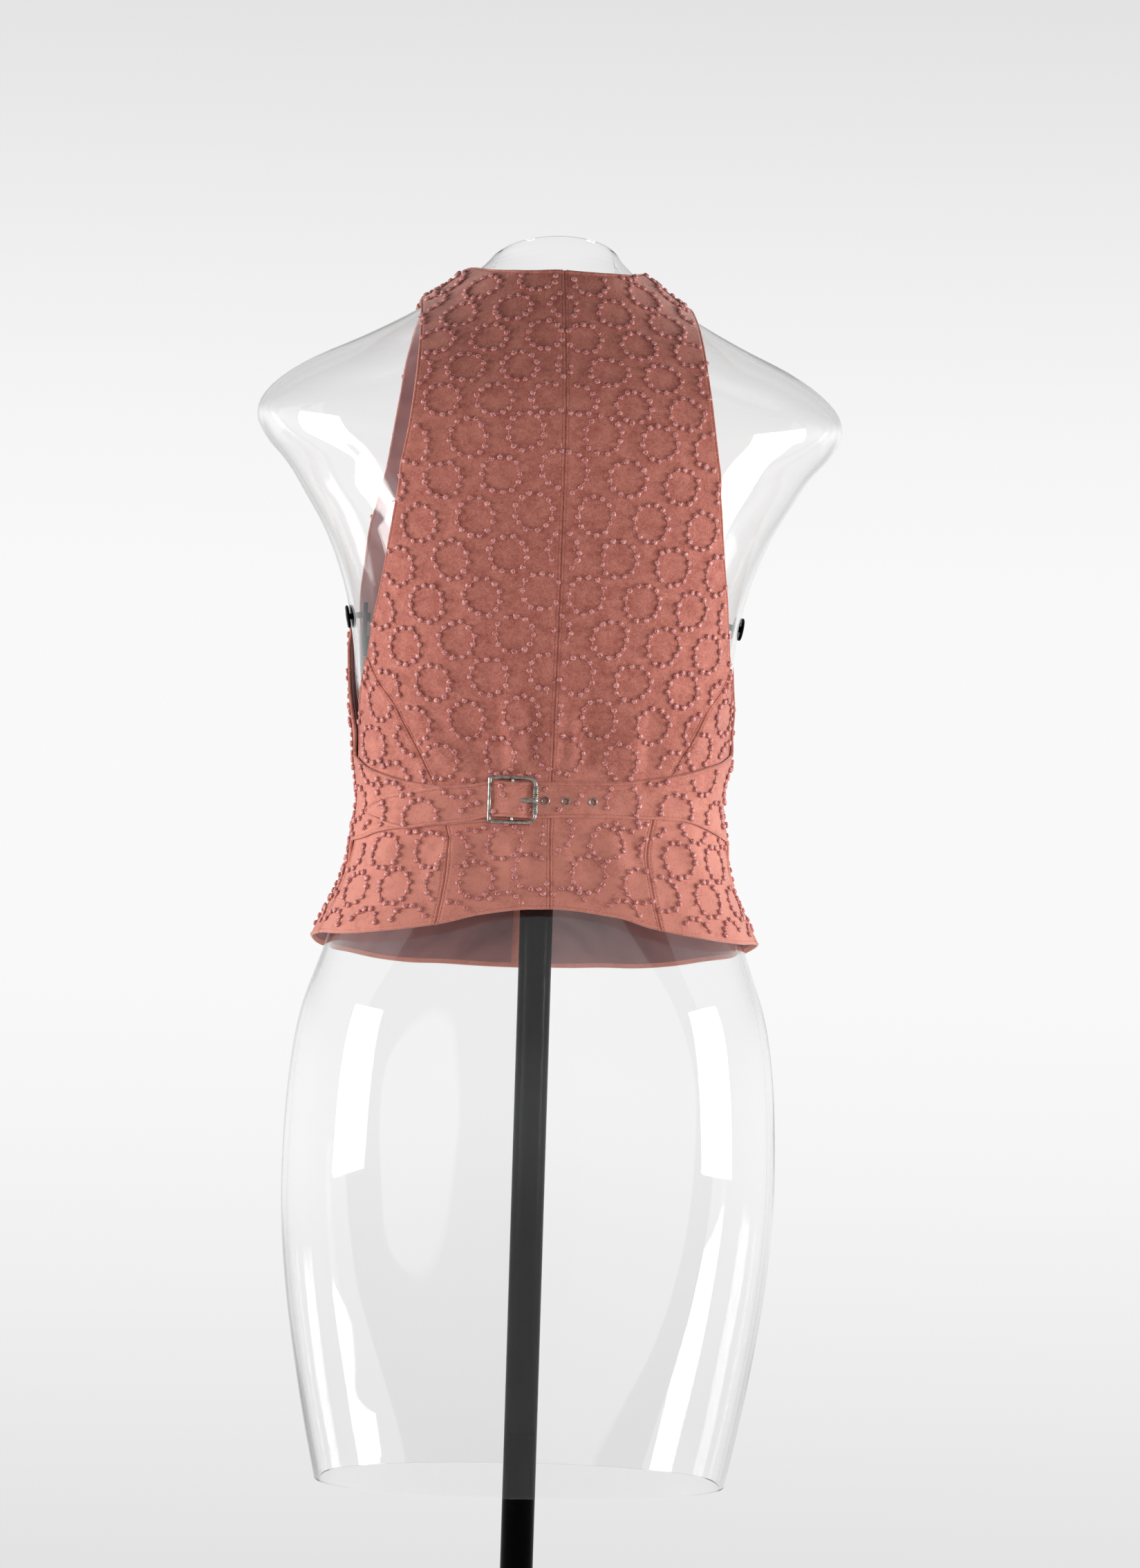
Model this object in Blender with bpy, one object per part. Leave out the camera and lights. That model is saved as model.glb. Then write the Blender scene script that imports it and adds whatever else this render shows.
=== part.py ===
"""A short waistcoat with a buckled belt at the back, on a clear dress form and its stand.

The origin is the middle of the stand's base, +Z is up and the waistcoat's back faces -Y.
Tables and sizes are in millimetres. A place on the garment is an angle round the body,
0 at the centre back, 90 at the side and 180 at the centre front, and a height. Above
the armpits the height runs on over the shoulder, as an arc of WRAP_RADIUS.
"""

import bpy
import numpy as np
from mathutils import Matrix, Vector

MM = 0.001

# Cloth
CLOTH_THICK = 1.8
LINING_THICK = 1.0
LAYER_GAP = 0.6
SEAM_INSET = 0.12  # degrees, half of the gap at a seam
SHOULDER_EASE = 4.9  # the cloth's outer face stands this far off the form's shoulders
SHOULDER_START = 1040
WRAP_RADIUS = 115
SIDE_SEAM = 82
ARMHOLE_BOTTOM = 833
SIDE_BACK_TOP = 903
BELT_LOW, BELT_HIGH = 785, 825
SHOULDER_SEAM_CLIMB = 97  # degrees over the top, so that the seam lies just in front
SHOULDER_SEAM_GAP = 0.35
LAST_SHARED = 890  # the highest row that the back shares with the side-back
LINING_GAP = 0.35
HEM_TURN = 3.5  # the lining stops this far above the hem
BUTTON_STAND = 5  # degrees past the centre front
LAP_START = 160  # the right front lifts from here on, to lie over the left one
STEP_WIDTH, STEP_FADE = 9, 19  # degrees and mm in which a front rises to its strap at the side seam
HEM_CELLS, BELT_CELLS, ABOVE_CELLS = 4, 4, 16

# Hardware
BUCKLE_WIDTH, BUCKLE_HEIGHT = 34.0, 32.6
BUCKLE_ANGLE, BUCKLE_AT = -16.6, 806.0
FRAME_ROD, CENTRE_BAR_ROD = 1.3, 1.1
ROLLER_OUTER, ROLLER_INNER, ROLLER_LENGTH = 2.1, 1.6, 20.0
BUCKLE_RIGHT_OUT, BUCKLE_LEFT_OUT = 4.9, 6.5
PRONG_ROD, PRONG_LOOP = 0.9, 1.9
EYELET_ANGLES, EYELET_AT = (-2.6, 6.7, 18.5), 806.0
EYELET_HOLE, EYELET_BARREL, EYELET_FLANGE = 1.9, 2.3, 3.1
BUTTON_RADIUS, BUTTON_THICK = 7.5, 3.0
BUTTON_HEIGHTS = (950, 895, 840, 785, 730)

# Form and stand
FORM_WALL = 4.0
NECK_RIM_MIDDLE, NECK_RIM_SLOPE = 1184, 0.30
HALF_GAP = 0.15
POLE_RADIUS = 11.5
BASE_RADIUS, BASE_THICK = 170, 8
HUB_RADIUS, HUB_TOP = 26, 38
BAR_AT, BAR_RADIUS = 911, 6
COLLAR_RADIUS, COLLAR_HALF = 17, 15
KNOB_AT, KNOB_RADIUS, KNOB_THICK, SCREW_RADIUS = 930, 8, 2.5, 3

WOOL = (0.60, 0.22, 0.16)
SATIN = (0.40, 0.15, 0.15)
NICKEL = (0.72, 0.70, 0.66)
ACRYLIC = (0.85, 0.87, 0.88)
BLACK = (0.02, 0.02, 0.022)
SHELL = (0.45, 0.20, 0.16)

FORM_SECTIONS = (
    # height, half width, back depth, front depth, power of the superellipse
    (330, 143.5, 98, 104, 2.20),
    (370, 152, 104, 106, 2.20),
    (417, 160.5, 109, 106, 2.20),
    (460, 167, 113, 105, 2.20),
    (500, 171, 117, 104, 2.20),
    (580, 171.5, 120, 102, 2.20),
    (615, 169, 119, 101, 2.20),
    (656, 162.5, 115, 100, 2.18),
    (700, 148, 105, 99, 2.15),
    (735, 137, 96, 97, 2.15),
    (770, 127, 88, 94, 2.15),
    (805, 121.5, 83.5, 92, 2.15),
    (850, 126, 85, 95, 2.15),
    (883, 131, 89, 103, 2.12),
    (915, 134, 94, 115, 2.10),
    (948, 140, 99.5, 124, 2.08),
    (970, 147, 103.5, 127.5, 2.05),
    (993, 157, 107, 126.5, 2.00),
    (1015, 170, 109.5, 121, 1.95),
    (1037, 184, 111, 113, 1.90),
    (1053, 198, 110.5, 106.5, 1.85),
    (1068, 205, 109, 100, 1.80),
    (1080, 203, 106.5, 94.5, 1.80),
    (1095, 190, 101, 88, 1.80),
    (1110, 167, 94.5, 81, 1.80),
    (1125, 135, 88, 75, 1.80),
    (1144, 99, 78, 67, 1.85),
    (1163, 70, 67, 60, 1.95),
    (1175, 54, 61, 55, 2.00),
    (1184, 45, 57, 52, 2.00),
    (1204, 40, 52, 48, 2.00),
)
NECK_START = 1150
FORM_ROWS = (
    330, 370, 417, 470, 530, 590, 645, 700, 740, 770, 790, 807, 825, 850, 890, 925, 955, 985,
    1010, 1032, 1050, 1068, 1082, 1095, 1108, 1121, 1132, 1142, 1151, 1159, 1167, 1176, None,
)
CLOTH_SECTIONS = (
    # height, half width, back depth, front depth, power; the cloth's outer face
    (680, 165, 125, 112.5, 2.15),
    (709, 156, 116, 110, 2.15),
    (735, 143, 106, 105, 2.15),
    (755, 135.5, 98.5, 101, 2.15),
    (779, 130.3, 91, 98.3, 2.15),
    (805, 127, 87.8, 97, 2.15),
    (830, 130.5, 90.3, 99.8, 2.15),
    (850, 132.5, 94, 103, 2.15),
    (883, 136, 101, 112, 2.12),
    (915, 139, 107, 121, 2.10),
    (948, 145, 111.5, 129.5, 2.08),
    (970, 151.5, 113, 132.5, 2.05),
    (993, 161.5, 114, 131, 2.00),
    (1015, 174.6, 115, 125.5, 1.95),
    (1040, 191.2, 115.4, 116.3, 1.90),
)
HEM = (
    # angle, height
    (0, 732.8), (10, 731.8), (19, 729.5), (27, 726.5), (34, 722), (42, 718.5),
    (48, 716), (57, 713.3), (68, 711), (80, 710.5), (95, 706), (108, 699),
    (118, 695), (128, 690.3), (140, 687), (151, 686.5), (164, 685.3), (190, 684.5),
)
BACK_ARMHOLE = (
    # height, angle
    (833, 81.8), (852, 79.8), (880, 76), (902, 71), (938, 64), (966, 59), (995, 54.8),
    (1025, 51), (1056, 49), (1094, 47.2), (1138, 45.7), (1205, 44), (1240, 43.5),
)
SIDE_BACK_SEAM = (
    # height, angle
    (700, 38), (723, 38.2), (750, 38.8), (770, 39.5), (790, 43), (815, 47.5),
    (826, 50), (840, 53), (857, 57), (870, 60), (885, 66), (903, 70.8),
)
FRONT_ARMHOLE = (
    # height, angle
    (833, 82.2), (850, 84), (868, 88), (888, 95), (915, 102), (940, 110), (967, 119),
    (995, 124.5), (1015, 128), (1032, 129.5), (1057, 130.8), (1093, 132.3), (1147, 133.9),
    (1196, 135.9), (1240, 136.5),
)
NECK_EDGE = (
    # height, angle, the V neck of the fronts
    (940, 180), (965, 179.5), (985, 175.5), (1010, 171), (1040, 166), (1070, 161.8),
    (1100, 158.3), (1150, 154.3), (1200, 152.2), (1240, 152),
)
BACK_NECK = (
    # sideways place, degrees of climb at which the back ends: the neckline, then the shoulder seam
    (0, 66), (18, 67.5), (30, 70.5), (40, 76), (48, 82.5), (56, 90),
    (62, 95.5), (66, 97), (75, 97), (120, 97), (200, 97),
)
FOLDS = (
    # height at the belt, height at the far end, angle at the belt, at the far end, half width
    # in degrees, rise in mm (under 0 is a trough)
    (823, 905, -15, -19, 7.0, 4.0),
    (821, 880, -27, -38, 7.5, -2.0),
    (824, 895, -1, 2, 6.0, 2.5),
    (824, 900, 17, 12, 7.5, -2.5),
    (826, 890, 32, 31, 8.0, 3.0),
    (822, 870, -40, -52, 7.0, 2.5),
    (833, 880, 56, 63, 7.0, 2.0),
    (787, 738, -15, -14, 8.0, 3.5),
    (782, 735, -36, -46, 7.0, 2.0),
    (790, 742, 4, 11, 7.0, 2.0),
    (790, 740, 24, 32, 8.0, 3.0),
    (788, 745, 55, 62, 8.0, 2.0),
    (778, 740, -60, -68, 8.0, 2.0),
)
LEFT_STRAP = (
    # angle from the centre back, top, bottom
    (-10, 819.5, 791.5), (14, 819, 791.5), (25, 817, 790.5), (46, 814.5, 786.5), (58, 817, 784),
    (68, 822, 780.5), (75, 826.5, 776.5), (82, 833, 774),
)
RIGHT_STRAP = (
    # angle, to the left of the centre back under 0, top, bottom
    (-74.5, 796.5, 793), (-67, 804.5, 788), (-59, 808.5, 783.8), (-46, 813.5, 786.8),
    (-32, 816.5, 790.5), (-26, 818.5, 793.2), (-16, 819, 793.2), (-6, 818.8, 793.6),
    (3, 819.2, 794.5), (34, 821.3, 795.2),
    (48, 825, 795), (58, 829, 793.5), (66, 833, 789.5), (74, 837, 784.5), (82, 842, 780.5),
)
RIGHT_STRAP_LIFT = (
    # angle, lift of the strap's inner face off the panels: over the left strap, and through the buckle
    (-75, 3.0), (-32, 3.0), (-25.3, 3.0), (-20.5, 6.6), (-18.5, 7.7), (-14, 7.7), (-12, 5.2),
    (-9, 0.9), (-8, 0.6), (90, 0.6),
)
LEFT_STRAP_COLUMNS = (14, 18, 22, 26, 31, 36, 41, 46, 51, 56, 60.5, 65, 69.5, 74, 78)
RIGHT_STRAP_COLUMNS = (
    -74.5, -69, -64, -58.5, -53, -48, -42.5, -37, -32, -29, -27, -25.3, -23, -21, -19, -17, -15,
    -13.6, -12, -10.5, -9, -7.8, -6, -4.5, -2, 1, 4, 9, 14, 19, 24, 29, 34, 39, 44, 49, 54, 58, 62,
    66, 70, 74, 78,
)


def smooth_rows(table, step=1.0):
    """The table's columns at every step of its first one, on a smooth curve through its rows"""
    rows = np.array(table, dtype=float)
    at, values = rows[:, 0], rows[:, 1:]
    slopes = np.gradient(values, at, axis=0)
    places = np.arange(at[0], at[-1] + step / 2, step)
    i = np.clip(np.searchsorted(at, places, side="right") - 1, 0, len(at) - 2)
    gap = (at[i + 1] - at[i])[:, None]
    t = (places - at[i])[:, None] / gap
    curve = (
        (2 * t**3 - 3 * t**2 + 1) * values[i]
        + (t**3 - 2 * t**2 + t) * gap * slopes[i]
        + (3 * t**2 - 2 * t**3) * values[i + 1]
        + (t**3 - t**2) * gap * slopes[i + 1]
    )
    return places, curve


def columns_at(rows, place):
    places, curve = rows
    return [np.interp(place, places, curve[:, k]) for k in range(curve.shape[1])]


FORM = smooth_rows(FORM_SECTIONS)
CLOTH = smooth_rows(CLOTH_SECTIONS)
HEM_LINE = smooth_rows(HEM)
BACK_ARMHOLE_LINE = smooth_rows(BACK_ARMHOLE)
SIDE_BACK_LINE = smooth_rows(SIDE_BACK_SEAM)
FRONT_ARMHOLE_LINE = smooth_rows(FRONT_ARMHOLE)
NECK_LINE = smooth_rows(NECK_EDGE)
BACK_NECK_LINE = smooth_rows(BACK_NECK)
LEFT_STRAP_LINE = smooth_rows(LEFT_STRAP)
RIGHT_STRAP_LINE = smooth_rows(RIGHT_STRAP)


def ease(t):
    """0 to 1 with a level start and end"""
    t = np.clip(t, 0, 1)
    return t * t * (3 - 2 * t)


def fullness(rows, x, y, z):
    """Under 1 inside the body that the sections describe and over 1 outside"""
    half, back, front, power = columns_at(rows, z)
    depth = np.where(y < 0, back, front)
    return (np.abs(x) / half) ** power + (np.abs(y) / depth) ** power


def outward(rows, point, reach=0.5):
    """The body's normal at points on its surface, from how the fullness grows"""
    x, y, z = point[..., 0], point[..., 1], point[..., 2]
    slope = np.stack(
        [
            fullness(rows, x + reach, y, z) - fullness(rows, x - reach, y, z),
            fullness(rows, x, y + reach, z) - fullness(rows, x, y - reach, z),
            fullness(rows, x, y, z + reach) - fullness(rows, x, y, z - reach),
        ],
        axis=-1,
    )
    return slope / np.linalg.norm(slope, axis=-1, keepdims=True)


def section_point(rows, angle, height):
    """A point of the section at this height, in the direction of the angle"""
    half, back, front, power = columns_at(rows, height)
    turn = np.radians(angle)
    depth = np.where(np.cos(turn) > 0, back, front)
    across, along = np.abs(np.sin(turn)) / half, np.abs(np.cos(turn)) / depth
    radius = (across**power + along**power) ** (-1 / power)
    return np.stack([radius * np.sin(turn), -radius * np.cos(turn), height + 0 * radius], axis=-1)


def over_shoulder(rows, x, climb, front):
    """Where a ray that climbs from the level of the armpits, at this x, leaves the body"""
    dy = np.where(front, np.cos(climb), -np.cos(climb))
    dz = np.sin(climb)
    low = np.zeros(np.broadcast(x, climb).shape)
    high = low + 250
    for _ in range(30):
        middle = (low + high) / 2
        inside = fullness(rows, x, middle * dy, SHOULDER_START + middle * dz) < 1
        low = np.where(inside, middle, low)
        high = np.where(inside, high, middle)
    return np.stack([x + 0 * low, low * dy, SHOULDER_START + low * dz], axis=-1)


def fold_rise(angle, height):
    """How far the soft folds above and below the belt raise the cloth"""
    rise = 0 * (angle + height)
    for start, end, start_angle, end_angle, half_width, most in FOLDS:
        along = (height - start) / (end - start)
        centre = start_angle + (end_angle - start_angle) * along
        across = np.clip((angle - centre) / half_width, -1, 1)
        fade = ease(along * abs(end - start) / 14) * ease((1 - along) * 1.3)
        rise = rise + most * fade * (1 + np.cos(np.pi * across)) / 2
    return rise


def cloth_surface(angle, height):
    """The cloth's outer face; angles run from -180 to 180 and a little beyond"""
    angle, height = np.broadcast_arrays(np.asarray(angle, float), np.asarray(height, float))
    low = section_point(CLOTH, angle, np.minimum(height, SHOULDER_START))
    radial = low * [1, 1, 0]
    radial = radial / np.linalg.norm(radial, axis=-1, keepdims=True)
    low = low + radial * fold_rise(angle, height)[..., None]
    climb = np.maximum(height - SHOULDER_START, 0) / WRAP_RADIUS
    start = section_point(CLOTH, angle, np.full(angle.shape, SHOULDER_START - 1.0))
    sideways = outward(CLOTH, start)[..., 0]
    base = over_shoulder(FORM, start[..., 0] - SHOULDER_EASE * sideways, climb, start[..., 1] > 0)
    high = base + outward(FORM, base) * SHOULDER_EASE
    return np.where((height > SHOULDER_START)[..., None], high, low)


def cloth_normal(angle, height):
    along = cloth_surface(angle + 0.5, height) - cloth_surface(angle - 0.5, height)
    upward = cloth_surface(angle, height + 1.0) - cloth_surface(angle, height - 1.0)
    normal = np.cross(along, upward)
    return normal / np.linalg.norm(normal, axis=-1, keepdims=True)


def cloth_point(angle, height, lift=0.0):
    lift = np.asarray(lift, float)
    return cloth_surface(angle, height) + cloth_normal(angle, height) * lift[..., None]


def shoulder_top(angle, front):
    """The height at which a column ends: the neckline near the centre back, else the shoulder seam"""
    if front:
        return SHOULDER_START + WRAP_RADIUS * np.radians(180 - SHOULDER_SEAM_CLIMB) + 0 * angle
    x = np.abs(section_point(CLOTH, angle, np.full(np.shape(angle), float(SHOULDER_START)))[..., 0])
    (climb,) = columns_at(BACK_NECK_LINE, x)
    climb = np.minimum(climb, SHOULDER_SEAM_CLIMB)
    return SHOULDER_START + WRAP_RADIUS * np.radians(climb)


def facing_out(points, faces):
    """The faces as they are, or all turned round where the volume inside them comes out under 0"""
    volume = 0
    for face in faces:
        first = points[face[0]]
        for a, b in zip(face[1:], face[2:]):
            volume += np.dot(first, np.cross(points[a], points[b]))
    if volume > 0:
        return faces
    return [[face[0], *reversed(face[1:])] for face in faces]


def make_mesh(name, points, faces, colour, roughness, metallic=0.0, smooth=True):
    mesh = bpy.data.meshes.new(name)
    mesh.from_pydata([tuple(p * MM) for p in points], [], facing_out(points, faces))
    if smooth:
        mesh.shade_smooth()
        mesh.set_sharp_from_angle(angle=np.radians(40))
    return add_object(name, mesh, colour, roughness, metallic)


def add_object(name, mesh, colour, roughness, metallic=0.0):
    piece = bpy.data.objects.new(name, mesh)
    bpy.context.scene.collection.objects.link(piece)
    material = bpy.data.materials.new(name)
    material.use_nodes = True
    shader = material.node_tree.nodes["Principled BSDF"]
    shader.inputs["Base Color"].default_value = (*colour, 1)
    shader.inputs["Roughness"].default_value = roughness
    shader.inputs["Metallic"].default_value = metallic
    mesh.materials.append(material)
    return piece


def wall(name, outer, inner, cells, colour, roughness):
    """A closed wall between two grids of points, where cells says which of the grid's cells it has"""
    rows, columns = outer.shape[:2]
    count = rows * columns
    points = np.concatenate([outer.reshape(-1, 3), inner.reshape(-1, 3)])

    def corner(i, j):
        return i * columns + j

    faces = []
    for i in range(rows - 1):
        for j in range(columns - 1):
            if not cells[i, j]:
                continue
            loop = [corner(i, j), corner(i, j + 1), corner(i + 1, j + 1), corner(i + 1, j)]
            faces.append(loop)
            faces.append([loop[k] + count for k in (2, 1, 0, 3)])
            beside = ((i - 1, j), (i, j + 1), (i + 1, j), (i, j - 1))
            for side, (p, q) in enumerate(beside):
                filled = 0 <= p < rows - 1 and 0 <= q < columns - 1 and cells[p, q]
                if not filled:
                    a, b = loop[side], loop[(side + 1) % 4]
                    faces.append([b, a, a + count, b + count])
    used = sorted({k for face in faces for k in face})
    place = {k: n for n, k in enumerate(used)}
    faces = [[place[k] for k in face] for face in faces]
    return make_mesh(name, points[used], faces, colour, roughness)


def panel_places(first_edge, last_edge, across, blocks):
    """Angles and heights of a panel's grid between two edges; a block is its bottom, top and cells"""
    height = 900 + np.zeros((1 + sum(block[2] for block in blocks), len(across)))
    for _ in range(12):
        first, last = first_edge(height), last_edge(height)
        angle = first + (last - first) * across[None, :]
        rows = []
        for bottom, top, cells in blocks:
            for k in range(cells):
                own = angle[len(rows)]
                rows.append(bottom(own) + (top(own) - bottom(own)) * k / cells)
        rows.append(blocks[-1][1](angle[-1]))
        height = np.array(rows)
    return angle, height


def at_height(height):
    return lambda angle: height + 0 * angle


def hem_height(angle):
    return columns_at(HEM_LINE, np.abs(angle))[0]


def hem_turn_height(angle):
    return hem_height(angle) + HEM_TURN


def back_top(angle):
    return shoulder_top(angle, False) - SHOULDER_SEAM_GAP


def front_top(angle):
    return shoulder_top(angle, True)


def plain_panel(name, side, angle, height):
    """A panel with the cloth's thickness; side is 1 on the right of the back as it is seen, -1 on the left"""
    cells = np.ones((angle.shape[0] - 1, angle.shape[1] - 1), bool)
    outer = cloth_point(side * angle, height)
    inner = cloth_point(side * angle, height, np.full(angle.shape, -CLOTH_THICK))
    return wall(name, outer, inner, cells, WOOL, 0.95)


def back_edge(height):
    (armhole,) = columns_at(BACK_ARMHOLE_LINE, height)
    (seam,) = columns_at(SIDE_BACK_LINE, height)
    blend = np.clip((height - SIDE_BACK_TOP + 2) / 4, 0, 1)
    return seam + (armhole - seam) * blend - SEAM_INSET


def build_backs():
    blocks = (
        (hem_height, at_height(BELT_LOW), HEM_CELLS),
        (at_height(BELT_LOW), at_height(BELT_HIGH), BELT_CELLS),
        (at_height(BELT_HIGH), at_height(LAST_SHARED), 5),
        (at_height(LAST_SHARED), at_height(SIDE_BACK_TOP), 1),
        (at_height(SIDE_BACK_TOP), back_top, 14),
    )
    across = np.linspace(0, 1, 13)
    angle, height = panel_places(lambda h: SEAM_INSET + 0 * h, back_edge, across, blocks)
    plain_panel("back_left", -1, angle, height)
    plain_panel("back_right", 1, angle, height)


def side_back_inner(height):
    return columns_at(SIDE_BACK_LINE, height)[0] + SEAM_INSET


def side_back_outer(height):
    (armhole,) = columns_at(BACK_ARMHOLE_LINE, height)
    return np.where(height > ARMHOLE_BOTTOM, armhole, SIDE_SEAM) - SEAM_INSET


def build_side_backs():
    blocks = (
        (hem_height, at_height(BELT_LOW), HEM_CELLS),
        (at_height(BELT_LOW), at_height(BELT_HIGH), BELT_CELLS),
        (at_height(BELT_HIGH), at_height(LAST_SHARED), 5),
        (at_height(LAST_SHARED), at_height(SIDE_BACK_TOP - 5), 1),
    )
    angle, height = panel_places(side_back_inner, side_back_outer, np.linspace(0, 1, 8), blocks)
    plain_panel("side_back_left", -1, angle, height)
    plain_panel("side_back_right", 1, angle, height)


def front_outer(height):
    (armhole,) = columns_at(FRONT_ARMHOLE_LINE, height)
    return np.where(height > ARMHOLE_BOTTOM, armhole, SIDE_SEAM) + SEAM_INSET


def front_inner(height):
    """The V neck, and below its point the edge of the button stand"""
    (neck,) = columns_at(NECK_LINE, height)
    return neck + BUTTON_STAND * (1 - ease((height - 948) / 20))


def strap_at_seam(line):
    """Bottom and top of a strap where it crosses the side seam"""
    top, bottom = columns_at(line, float(SIDE_SEAM))
    return float(bottom), float(top)


def front_places(line):
    """Angles and heights of a front, from the armhole to the centre, with rows at its strap's edges"""
    bottom, top = strap_at_seam(line)
    blocks = (
        (hem_height, hem_turn_height, 1),
        (hem_turn_height, at_height(bottom), HEM_CELLS - 1),
        (at_height(bottom), at_height(top), BELT_CELLS),
        (at_height(top), front_top, ABOVE_CELLS),
    )
    return panel_places(front_outer, front_inner, np.linspace(0, 1, 13) ** 0.92, blocks)


def front_lift(angle, height, line, laps_over):
    """How far a front stands off the plain surface, beside its strap and where it laps over at the centre"""
    bottom, top = strap_at_seam(line)
    beside = ease((SIDE_SEAM + STEP_WIDTH - angle) / STEP_WIDTH)
    beyond = np.maximum(bottom - height, height - top)
    step = beside * ease(1 - beyond / STEP_FADE)
    lap = laps_over * ease((angle - LAP_START) / 9)
    return (LAYER_GAP + CLOTH_THICK) * (step + lap)


def build_front(name, side, line, columns, strap_lift, laps_over):
    """A front cut in one with its belt strap, whose columns step out over the side seam"""
    front_angle, front_height = front_places(line)
    count = len(columns)
    shape = (front_angle.shape[0], count + front_angle.shape[1])
    angle, height, lift = np.zeros(shape), np.full(shape, 800.0), np.zeros(shape)
    angle[:, count:] = front_angle
    height[:, count:] = front_height
    lift[:, count:] = front_lift(front_angle, front_height, line, laps_over)
    top, bottom = columns_at(line, columns)
    up = np.linspace(0, 1, BELT_CELLS + 1)[:, None]
    angle[:, :count] = columns
    height[HEM_CELLS:HEM_CELLS + BELT_CELLS + 1, :count] = bottom + (top - bottom) * up
    lift[:, :count] = np.interp(columns, *strap_lift) + CLOTH_THICK
    cells = np.zeros((shape[0] - 1, shape[1] - 1), bool)
    cells[:, count:] = True
    cells[HEM_CELLS:HEM_CELLS + BELT_CELLS, :count] = True
    outer = cloth_point(side * angle, height, lift)
    inner = cloth_point(side * angle, height, lift - CLOTH_THICK)
    return wall(name, outer, inner, cells, WOOL, 0.95)


def build_lining(name, side, line):
    """Satin behind a front, on the front's own grid moved in, from above the hem to beside the buttons"""
    angle, height = front_places(line)
    cells = np.ones((angle.shape[0] - 1, angle.shape[1] - 1), bool)
    cells[0] = False
    cells[:, -2:] = False
    depth = np.full(angle.shape, -(CLOTH_THICK + LINING_GAP))
    outer = cloth_point(side * angle, height, depth)
    inner = cloth_point(side * angle, height, depth - LINING_THICK)
    return wall(name, outer, inner, cells, SATIN, 0.45)


def place_on_cloth(angle, height, lift=0.0):
    """A matrix with X to the right, Y into the body and Z up the cloth, at a point lifted off it"""
    at = cloth_point(np.array(float(angle)), np.array(float(height)), np.array(float(lift)))
    normal = Vector(cloth_normal(np.array(float(angle)), np.array(float(height))))
    inward = -normal
    right = inward.cross(Vector((0, 0, 1))).normalized()
    up = right.cross(inward)
    turn = Matrix((right, inward, up)).transposed().to_4x4()
    return Matrix.Translation(Vector(at) * MM) @ turn


def turned(name, profile, segments, colour, roughness, metallic, place, axis="Z"):
    """A body turned from a closed profile of (radius, height)"""
    points, faces, rings = [], [], []
    for radius, height in profile:
        ring = []
        steps = 1 if radius == 0 else segments
        for k in range(steps):
            turn = 2 * np.pi * k / segments
            ring.append(len(points))
            points.append(np.array([radius * np.cos(turn), radius * np.sin(turn), height]))
        rings.append(ring)
    closed = profile[0][0] > 0
    following = rings[1:] + (rings[:1] if closed else [])
    for first, second in zip(rings, following):
        for k in range(segments):
            n = (k + 1) % segments
            quad = [
                first[k % len(first)],
                first[n % len(first)],
                second[n % len(second)],
                second[k % len(second)],
            ]
            faces.append([v for m, v in enumerate(quad) if v not in quad[:m]])
    piece = make_mesh(name, points, faces, colour, roughness, metallic)
    tilt = Matrix.Rotation(np.pi / 2, 4, "Y") if axis == "X" else Matrix()
    piece.matrix_world = place @ tilt
    return piece


def rod(name, start, end, radius, segments, colour, roughness, metallic, place=None):
    """A round bar between two points in mm"""
    start, end = Vector(start), Vector(end)
    length = (end - start).length
    turn = (end - start).to_track_quat("Z", "Y").to_matrix().to_4x4()
    base = (place or Matrix()) @ Matrix.Translation(start * MM) @ turn
    profile = [(0, 0), (radius, 0), (radius, length), (0, length)]
    return turned(name, profile, segments, colour, roughness, metallic, base)


def combine(target, tool, operation):
    """A Boolean with a body that is then left out"""
    change = target.modifiers.new(tool.name, "BOOLEAN")
    change.operation = operation
    change.solver = "EXACT"
    change.object = tool
    tool.hide_render = True
    tool.display_type = "WIRE"


def buckle_outline(width, height, round_corner, sharp_corner, steps):
    """The middle line of the frame's rod, with round corners on the right and sharp ones on the left"""
    corners = (
        (width / 2, height / 2, round_corner, 0),
        (-width / 2, height / 2, sharp_corner, 90),
        (-width / 2, -height / 2, sharp_corner, 180),
        (width / 2, -height / 2, round_corner, 270),
    )
    line = []
    for x, z, radius, start in corners:
        centre = (x - np.sign(x) * radius, z - np.sign(z) * radius)
        for k in range(steps + 1):
            turn = np.radians(start + 90 * k / steps)
            across, up = radius * np.cos(turn), radius * np.sin(turn)
            line.append(np.array([centre[0] + across, 0, centre[1] + up]))
    return line


def ring_tube(name, line, radius, sides, colour, roughness, metallic, place):
    """A rod of round section along a closed flat line in the XZ plane"""
    points, faces = [], []
    count = len(line)
    for k, at in enumerate(line):
        along = line[(k + 1) % count] - line[k - 1]
        along = along / np.linalg.norm(along)
        side = np.cross(along, [0, 1, 0])
        for s in range(sides):
            turn = 2 * np.pi * s / sides
            points.append(at + radius * (np.cos(turn) * side + np.sin(turn) * np.array([0, 1, 0])))
    for k in range(count):
        for s in range(sides):
            n, t = (k + 1) % count, (s + 1) % sides
            faces.append([k * sides + s, n * sides + s, n * sides + t, k * sides + t])
    piece = make_mesh(name, points, faces, colour, roughness, metallic)
    piece.matrix_world = place
    return piece


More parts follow.
